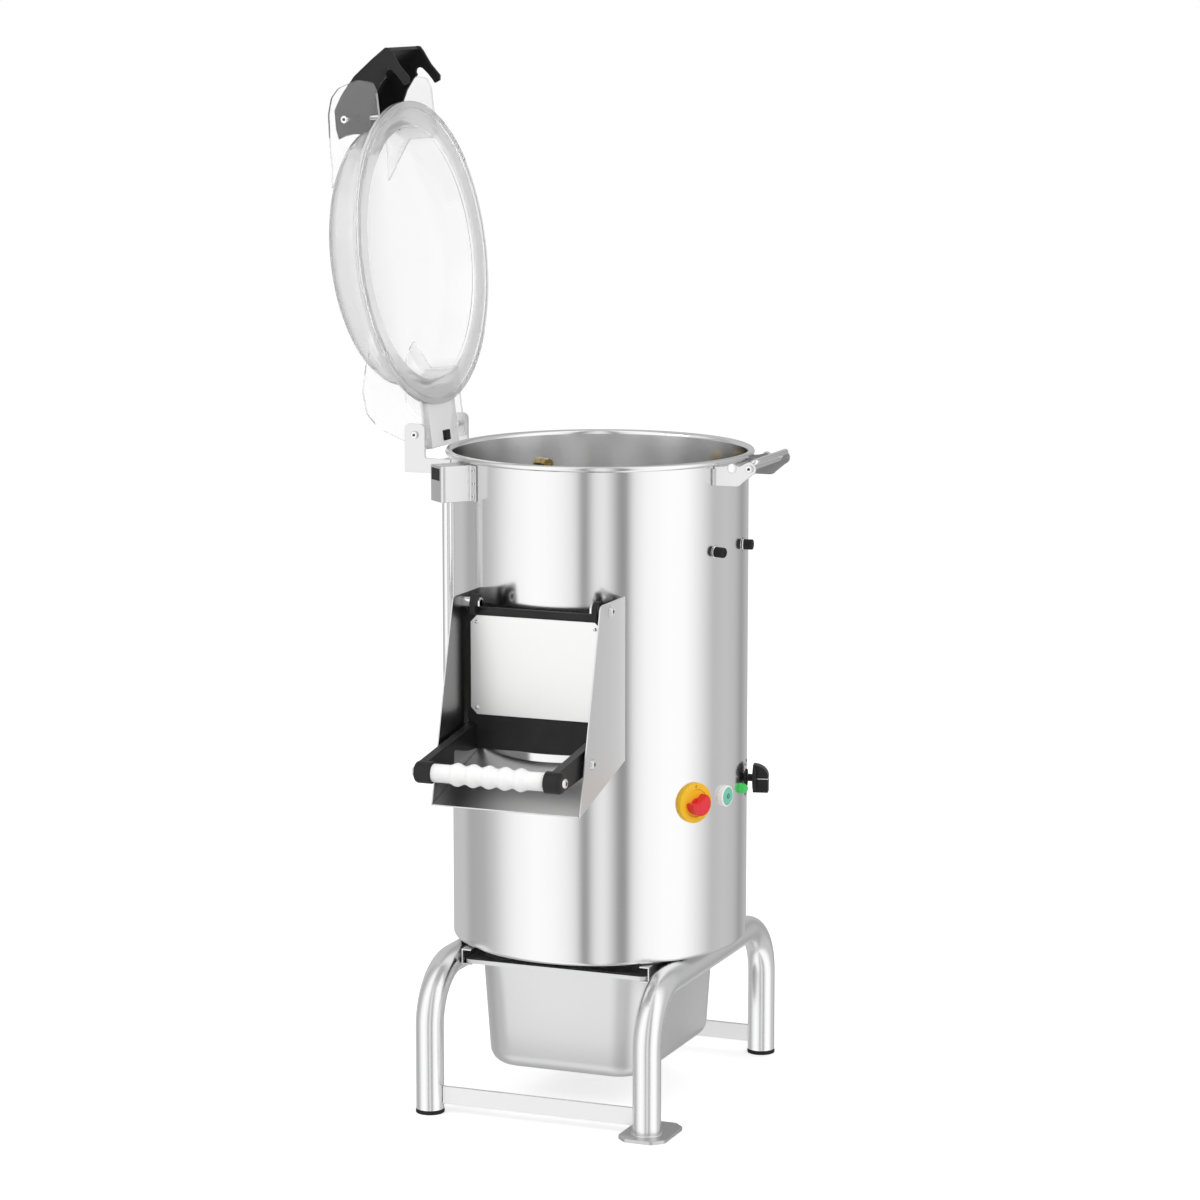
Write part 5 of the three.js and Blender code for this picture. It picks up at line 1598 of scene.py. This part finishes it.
@dataclass
class Controls:
    """Main switch, start button, run lamp, timer and the two wall studs."""

    height: float = 426
    wall: float = 200.3
    sunk: float = -2.4
    switch_angle: float = 60.3
    button_angle: float = 77.7
    lamp_angle: float = 92.9
    timer_angle: float = 104
    timer_height: float = 433
    stud_height: float = 757
    minutes: int = 11

    def disc(self, work: Workpiece, profile: Sequence[Point2], angle: float, height: float,
             steps: int = 48) -> None:
        """Adds a round piece that stands on the wall.

        Args:
            work: The workpiece that takes it.
            profile: Points of (radius, distance from the wall).
            angle: Degrees from the front towards the latch side.
            height: Height of its middle.
            steps: Facets.
        """
        points = [(r, self.wall + out) for r, out in profile]
        work.turned(points, steps, on_wall(angle, height) @ along_x())

    def build(self) -> None:
        """Makes every control."""
        self.main_switch()
        self.start_button()
        self.timer()
        self.studs()

    def main_switch(self) -> None:
        """Yellow plate with a red turning knob and its 0 and I marks."""
        angle, z, back = self.switch_angle, self.height, self.sunk
        base = Workpiece()
        self.disc(base, [(0, back), (27, back), (27, 3.4), *arc((25.4, 3.4), 1.6, 0, 90, 4)[1:], (19, 5),
                         (18, 3.5), (0, 3.5)], angle, z, 72)
        base.become("main_switch_plate", YELLOW, Body.BASE, ["switch_bezel"], edge=0, crease=40)
        knob = Workpiece()
        self.disc(knob, [(0, 3.8), (7, 3.8), (7, 5), *arc((6, 5), 1, 0, 90, 4)[1:], (0, 6)], angle, z, 64)
        grip = [*arc((0, 0), 15.5, 52, -185, 40), (-3, 2)]
        knob.slab(grip, self.wall + 3.8, self.wall + 17.5, Plane.YZ, on_wall(angle, z))
        knob.become("main_switch_knob", RED, Body.MAIN_KNOB, ["switch_knob"], edge=1.2)
        for text, clock in (("0", 0), ("I", 90)):
            self.mark(text, angle, z, clock, out=22.3, size=5.2, depth=5.05)

    def mark(self, text: str, angle: float, height: float, clock: float, out: float, size: float,
             depth: float, finish: Finish = INK, body: Body = Body.BASE) -> None:
        """Puts a small sign on a control.

        Args:
            text: The sign.
            angle: The control's angle on the wall.
            height: The control's height.
            clock: Direction from the control's middle in degrees, clockwise from the top.
            out: Distance from the middle.
            size: Height of the sign.
            depth: Distance from the wall.
            finish: Its finish.
            body: The body that it rides on.
        """
        curve = bpy.data.curves.new(f"sign_{text}", "FONT")
        curve.body, curve.size, curve.extrude = text, size, 0.12
        curve.align_x, curve.align_y = "CENTER", "CENTER"
        carrier = bpy.data.objects.new(f"sign_{text}", curve)
        bpy.context.scene.collection.objects.link(carrier)
        depsgraph = bpy.context.evaluated_depsgraph_get()
        mesh = bpy.data.meshes.new_from_object(carrier.evaluated_get(depsgraph))
        bpy.data.objects.remove(carrier)
        bpy.data.curves.remove(curve)
        turn = math.radians(clock)
        face = Matrix(((0, 0, 1, self.wall + depth), (1, 0, 0, out * math.sin(turn)),
                       (0, 1, 0, out * math.cos(turn)), (0, 0, 0, 1)))
        part = bmesh.new()
        part.from_mesh(mesh)
        bpy.data.meshes.remove(mesh)
        work = Workpiece().absorb(part, on_wall(angle, height) @ face)
        name = {"0": "zero", "I": "one"}.get(text, text)
        work.become(f"sign_{name}_{round(angle)}_{round(clock)}", finish, body, edge=0)

    def start_button(self) -> None:
        """White bezel with a green cap marked I, and the run lamp."""
        angle, z, back = self.button_angle, self.height, self.sunk
        bezel = Workpiece()
        self.disc(bezel, [(0, back), (14.5, back), (14.5, 2), *arc((12.7, 4.4), 1.8, 0, 90, 4), (11.9, 6.2),
                          (11.9, 0.4), (0, 0.4)], angle, z, 56)
        bezel.become("start_bezel", WHITE, Body.BASE, ["button_bezel"], edge=0, crease=40)
        cap = Workpiece()
        self.disc(cap, [(0, 4), (11.6, 4), (11.6, 5.8), *arc((10.4, 5.8), 1.2, 0, 90, 3)[1:], (0, 7)],
                  angle, z, 48)
        cap.become("start_cap", GREEN, Body.BUTTON, ["start_button"], edge=0, crease=40)
        core = Workpiece()
        self.disc(core, [(0, 7), (3.6, 7), (3.6, 7.15), (3.2, 7.3), (0, 7.3)], angle, z, 40)
        core.become("start_core", DARK_GREEN, Body.BUTTON, edge=0, crease=40)
        self.mark("I", angle, z, 0, out=0, size=4, depth=7.32, finish=CHALK, body=Body.BUTTON)
        lamp = Workpiece()
        self.disc(lamp, [(0, back), (7.5, back), (7.5, 1.2), (6.6, 1.8), (6.6, 3.6),
                         *arc((0, 3.6), 6.6, 0, 90, 8)[1:]], self.lamp_angle, z, 40)
        lamp.become("run_lens", LAMP, Body.BASE, ["run_lamp"], edge=0)

    def timer(self) -> None:
        """Black timer with a skirted pointer knob and minute ticks on the wall."""
        angle, z, r, stand = self.timer_angle, self.timer_height, 19, 9.5
        dial = Workpiece()
        self.disc(dial, [(0, self.sunk), (12, self.sunk), (12, 0.9), (11.2, 1.5), (0, 1.5)], angle, z, 64)
        dial.become("timer_plate", BLACK, Body.BASE, ["timer_dial"], edge=0, crease=40)
        knob = Workpiece()
        self.disc(knob, [(0, 2.3), (5, 2.3), (5, stand), (r - 0.5, stand), (r, stand + 0.6), (r, stand + 4),
                         (r - 1, stand + 5), (0, stand + 5)], angle, z, 64)
        low = self.wall + stand
        turns = [math.pi * i / 24 for i in range(13)]
        crown = [(low + 20.5 * math.cos(t), 2.85 + 16.15 * math.sin(t)) for t in turns]
        knob.slab([(low, -r), (low + 20.5, -r), *crown], -8.55, 8.55, Plane.XZ, on_wall(angle, z))
        knob.become("timer_pointer", BLACK, Body.TIMER, ["timer_knob"], edge=0.8)
        line = Workpiece()
        line.block((low + 6, -8.8, -0.5), (low + 20.4, -8.4, 0.5), on_wall(angle, z))
        line.block((low + 20.3, -8.4, -0.5), (low + 20.7, 8.4, 0.5), on_wall(angle, z))
        line.become("timer_line", CHALK, Body.TIMER, edge=0)
        ticks = Workpiece()
        for minute in range(self.minutes):
            turn = math.radians(30 - minute * 27)
            side, up = -23.5 * math.sin(turn), 23.5 * math.cos(turn)
            spot = on_wall(angle + math.degrees(math.asin(side / self.wall)), z + up)
            ticks.block((self.wall - 0.1, -0.7, -2.2), (self.wall + 0.2, 0.7, 2.2),
                        spot @ Matrix.Translation((self.wall, 0, 0)) @ Matrix.Rotation(turn, 4, "X")
                        @ Matrix.Translation((-self.wall, 0, 0)))
        ticks.become("timer_ticks", INK, Body.BASE, edge=0)

    def studs(self) -> None:
        """The two rubber studs on the wall, each in a steel washer."""
        for name, angle in (("front", 72.0), ("back", 95.0)):
            stud = Workpiece()
            self.disc(stud, [(0, self.sunk), (6.9, self.sunk), (6.9, 11.2), *arc((5.7, 11.8), 1.2, 0, 90, 3),
                             (3, 13), (2.5, 12.2), (0, 12.2)], angle, self.stud_height, 40)
            stud.become(f"stud_rubber_{name}", RUBBER, Body.BASE, [f"wall_stud_{name}"], edge=0, crease=40)
            washer = Workpiece()
            self.disc(washer, [(7, 0.1), (9.4, 0.1), (9.4, 1), (8.9, 1.5), (7, 1.5)], angle, self.stud_height,
                      40)
            washer.become(f"stud_washer_{name}", TUBE_STEEL, Body.BASE, edge=0)


def main() -> None:
    """Builds the studio and every sub-assembly."""
    logging.basicConfig(level=logging.INFO, format="%(name)s: %(message)s")
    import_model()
    Studio().build()
    lid = Lid()
    for part in (Drum(), Turntable(), Trestle(), WastePan(), Chute(), Door(), lid, Ironwork(), Controls()):
        part.build()
        LOG.info("built %s", type(part).__name__)
    LatchLever().build(lid)
    bpy.context.view_layer.update()


if __name__ == "__main__":
    main()
